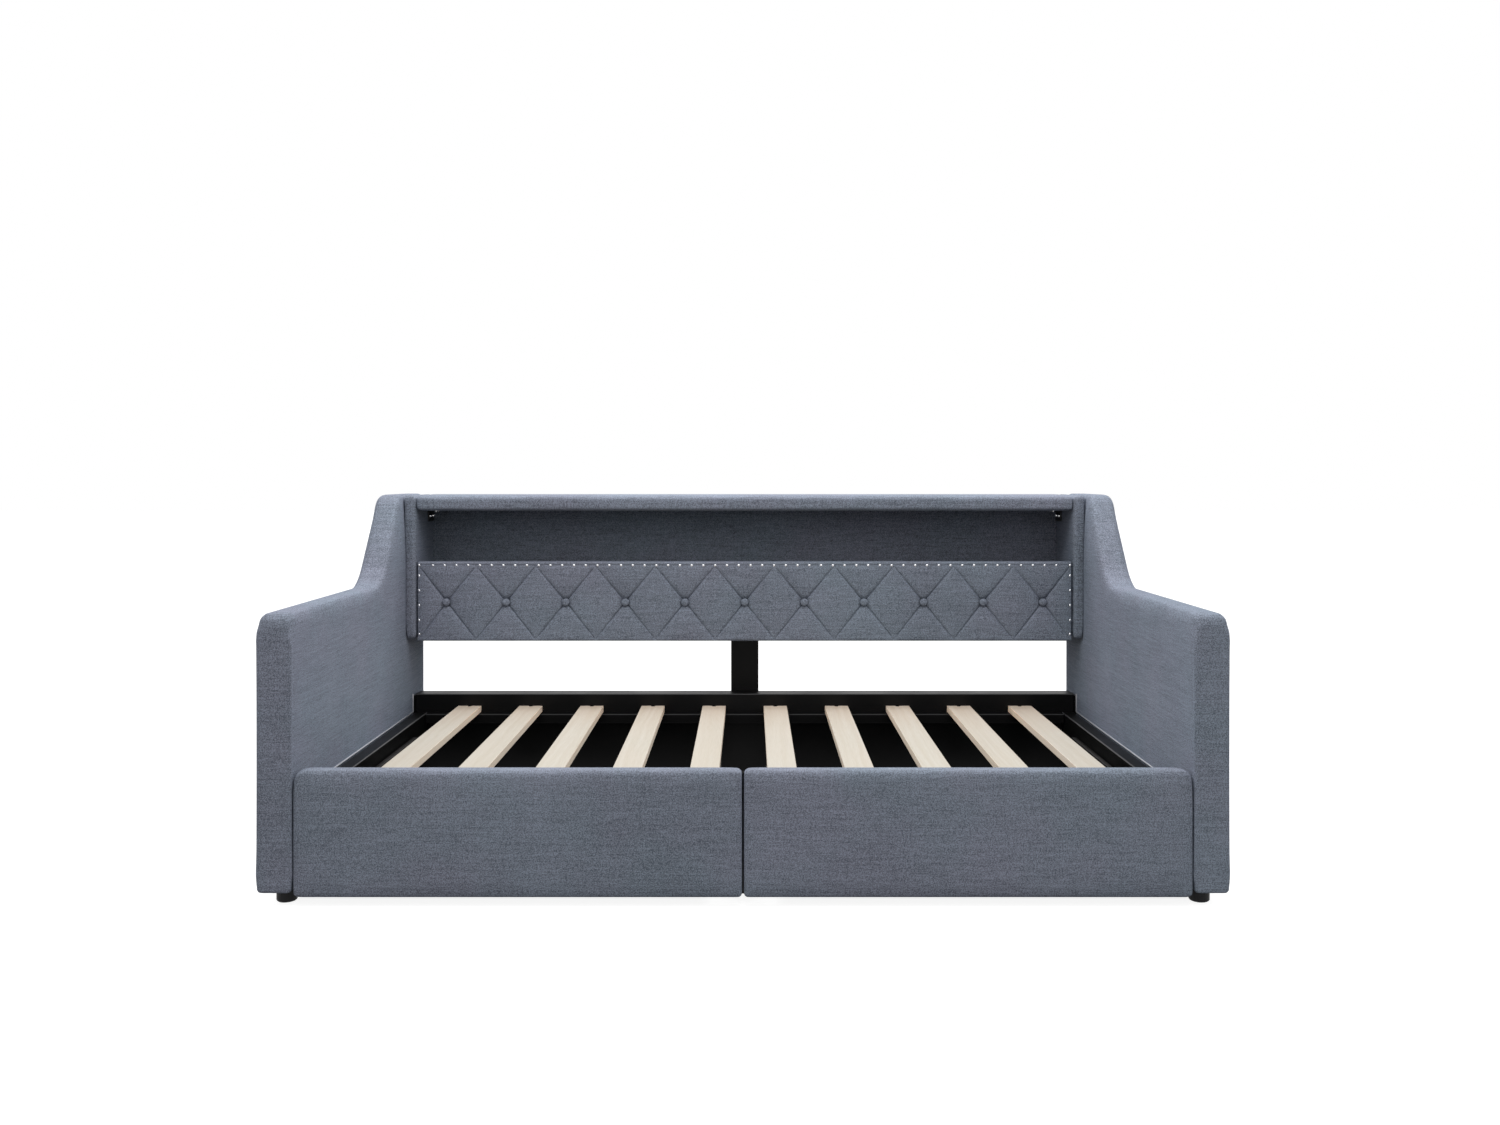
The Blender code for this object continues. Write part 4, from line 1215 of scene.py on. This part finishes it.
def staple(x, y, z, along, out):
    """One staple's crown, flat on a face: along and out are unit vectors."""
    along, out = Vector(along), Vector(out)
    across = along.cross(out)
    rings = []
    for run, share in ((-0.5, 0.4), (-0.46, 1.0), (0.46, 1.0), (0.5, 0.4)):
        ring = []
        for i in range(8):
            angle = 2 * math.pi * i / 8
            side = across * (STAPLE_WIRE * share * math.cos(angle))
            rise = out * (STAPLE_WIRE * 0.7 * (1.0 + share * math.sin(angle)))
            ring.append(Vector((x, y, z)) + along * (run * STAPLE_LENGTH) + side + rise)
        rings.append(ring)
    return join_rings(rings)


def staple_row(start, end, along, out):
    """Staples at even steps from one place to another."""
    start, end = Vector(start), Vector(end)
    count = max(2, round((end - start).length / STAPLE_GAP))
    return [staple(*start.lerp(end, i / count), along, out) for i in range(count + 1)]


def thin_sheet(name, body, low, high, axis):
    """A thin lining with cut corners between two corners; its normal is the given axis."""
    flat = [i for i in range(3) if i != axis]
    (a0, a1), (b0, b1) = [(low[i], high[i]) for i in flat]
    cut = LINING_CORNER
    loop = [(a0 + cut, b0), (a1 - cut, b0), (a1, b0 + cut), (a1, b1 - cut)]
    loop += [(a1 - cut, b1), (a0 + cut, b1), (a0, b1 - cut), (a0, b0 + cut)]
    rings = []
    for level in (low[axis], high[axis]):
        ring = []
        for a, b in loop:
            point = [0.0, 0.0, 0.0]
            point[flat[0]], point[flat[1]], point[axis] = a, b, level
            ring.append(point)
        rings.append(ring)
    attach(add_object(name, *join_rings(rings), lining, False), body)


def line_arm(word):
    """The lining under one arm, and its two rows of staples."""
    low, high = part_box(f"{word}_arm")
    edge = ARM_LINING_EDGE
    floor = low.z - 1.5 * MM
    sheet_low = (low.x + edge, low.y + edge, floor - 0.6 * MM)
    sheet_high = (high.x - edge, high.y - edge, floor + 0.3 * MM)
    thin_sheet(f"{word}_arm_lining", "root", sheet_low, sheet_high, 2)
    front, back = sheet_low[1] + STAPLE_FROM_END, sheet_high[1] - STAPLE_FROM_END
    rows = []
    for x in (sheet_low[0] + STAPLE_FROM_EDGE, sheet_high[0] - STAPLE_FROM_EDGE):
        start, end = (x, front, sheet_low[2]), (x, back, sheet_low[2])
        rows += staple_row(start, end, (0, 1, 0), (0, 0, -1))
    made = add_object(f"{word}_arm_staples", *gather(rows), zinc)
    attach(made, "root")


def line_drawer(word):
    """The lining behind one drawer front, above the drawer's box, and its row of staples."""
    low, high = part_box(f"{word}_drawer_front")
    edge = DRAWER_LINING_EDGE
    box_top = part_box(f"{word}_drawer_outer_side")[1].z
    sheet_low = (low.x + edge, high.y - 0.3 * MM, box_top + 4.0 * MM)
    sheet_high = (high.x - edge, high.y + 0.2 * MM, high.z - edge)
    thin_sheet(f"{word}_drawer_lining", f"{word}_drawer", sheet_low, sheet_high, 1)
    z = sheet_high[2] - STAPLE_FROM_EDGE
    start = (sheet_low[0] + STAPLE_FROM_END, sheet_high[1], z)
    end = (sheet_high[0] - STAPLE_FROM_END, sheet_high[1], z)
    rows = staple_row(start, end, (1, 0, 0), (0, 1, 0))
    made = add_object(f"{word}_drawer_staples", *gather(rows), zinc)
    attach(made, f"{word}_drawer")


for word in ("left", "right"):
    line_arm(word)
    line_drawer(word)


# Carried-over nodes

FINISHES = {
    "black_frame": lacquer, "black_board": board_black, "board": board_plain,
    "black_metal": steel_black, "black_plastic": plastic, "wheel_rubber": rubber,
}

SPECIAL_FINISHES = {"front_rail": stain, "front_ledger": low_sheen, "rear_ledger": low_sheen}


def dress_nodes():
    """Gives every CAD node that still shows its finish and eased edges."""
    for name, made in NODES.items():
        if made.hide_render:
            continue
        slot = made.data.materials[0].name.split(".")[0]
        finish = SPECIAL_FINISHES.get(name, FINISHES[slot])
        for i in range(len(made.data.materials)):
            made.data.materials[i] = finish
        weld = made.modifiers.new("weld", "WELD")
        weld.merge_threshold = WELD_DISTANCE
        bevel = made.modifiers.new("eased", "BEVEL")
        bevel.width = 0.8 * MM
        bevel.segments = 2
        bevel.limit_method = "ANGLE"
        bevel.angle_limit = math.radians(40)


dress_nodes()
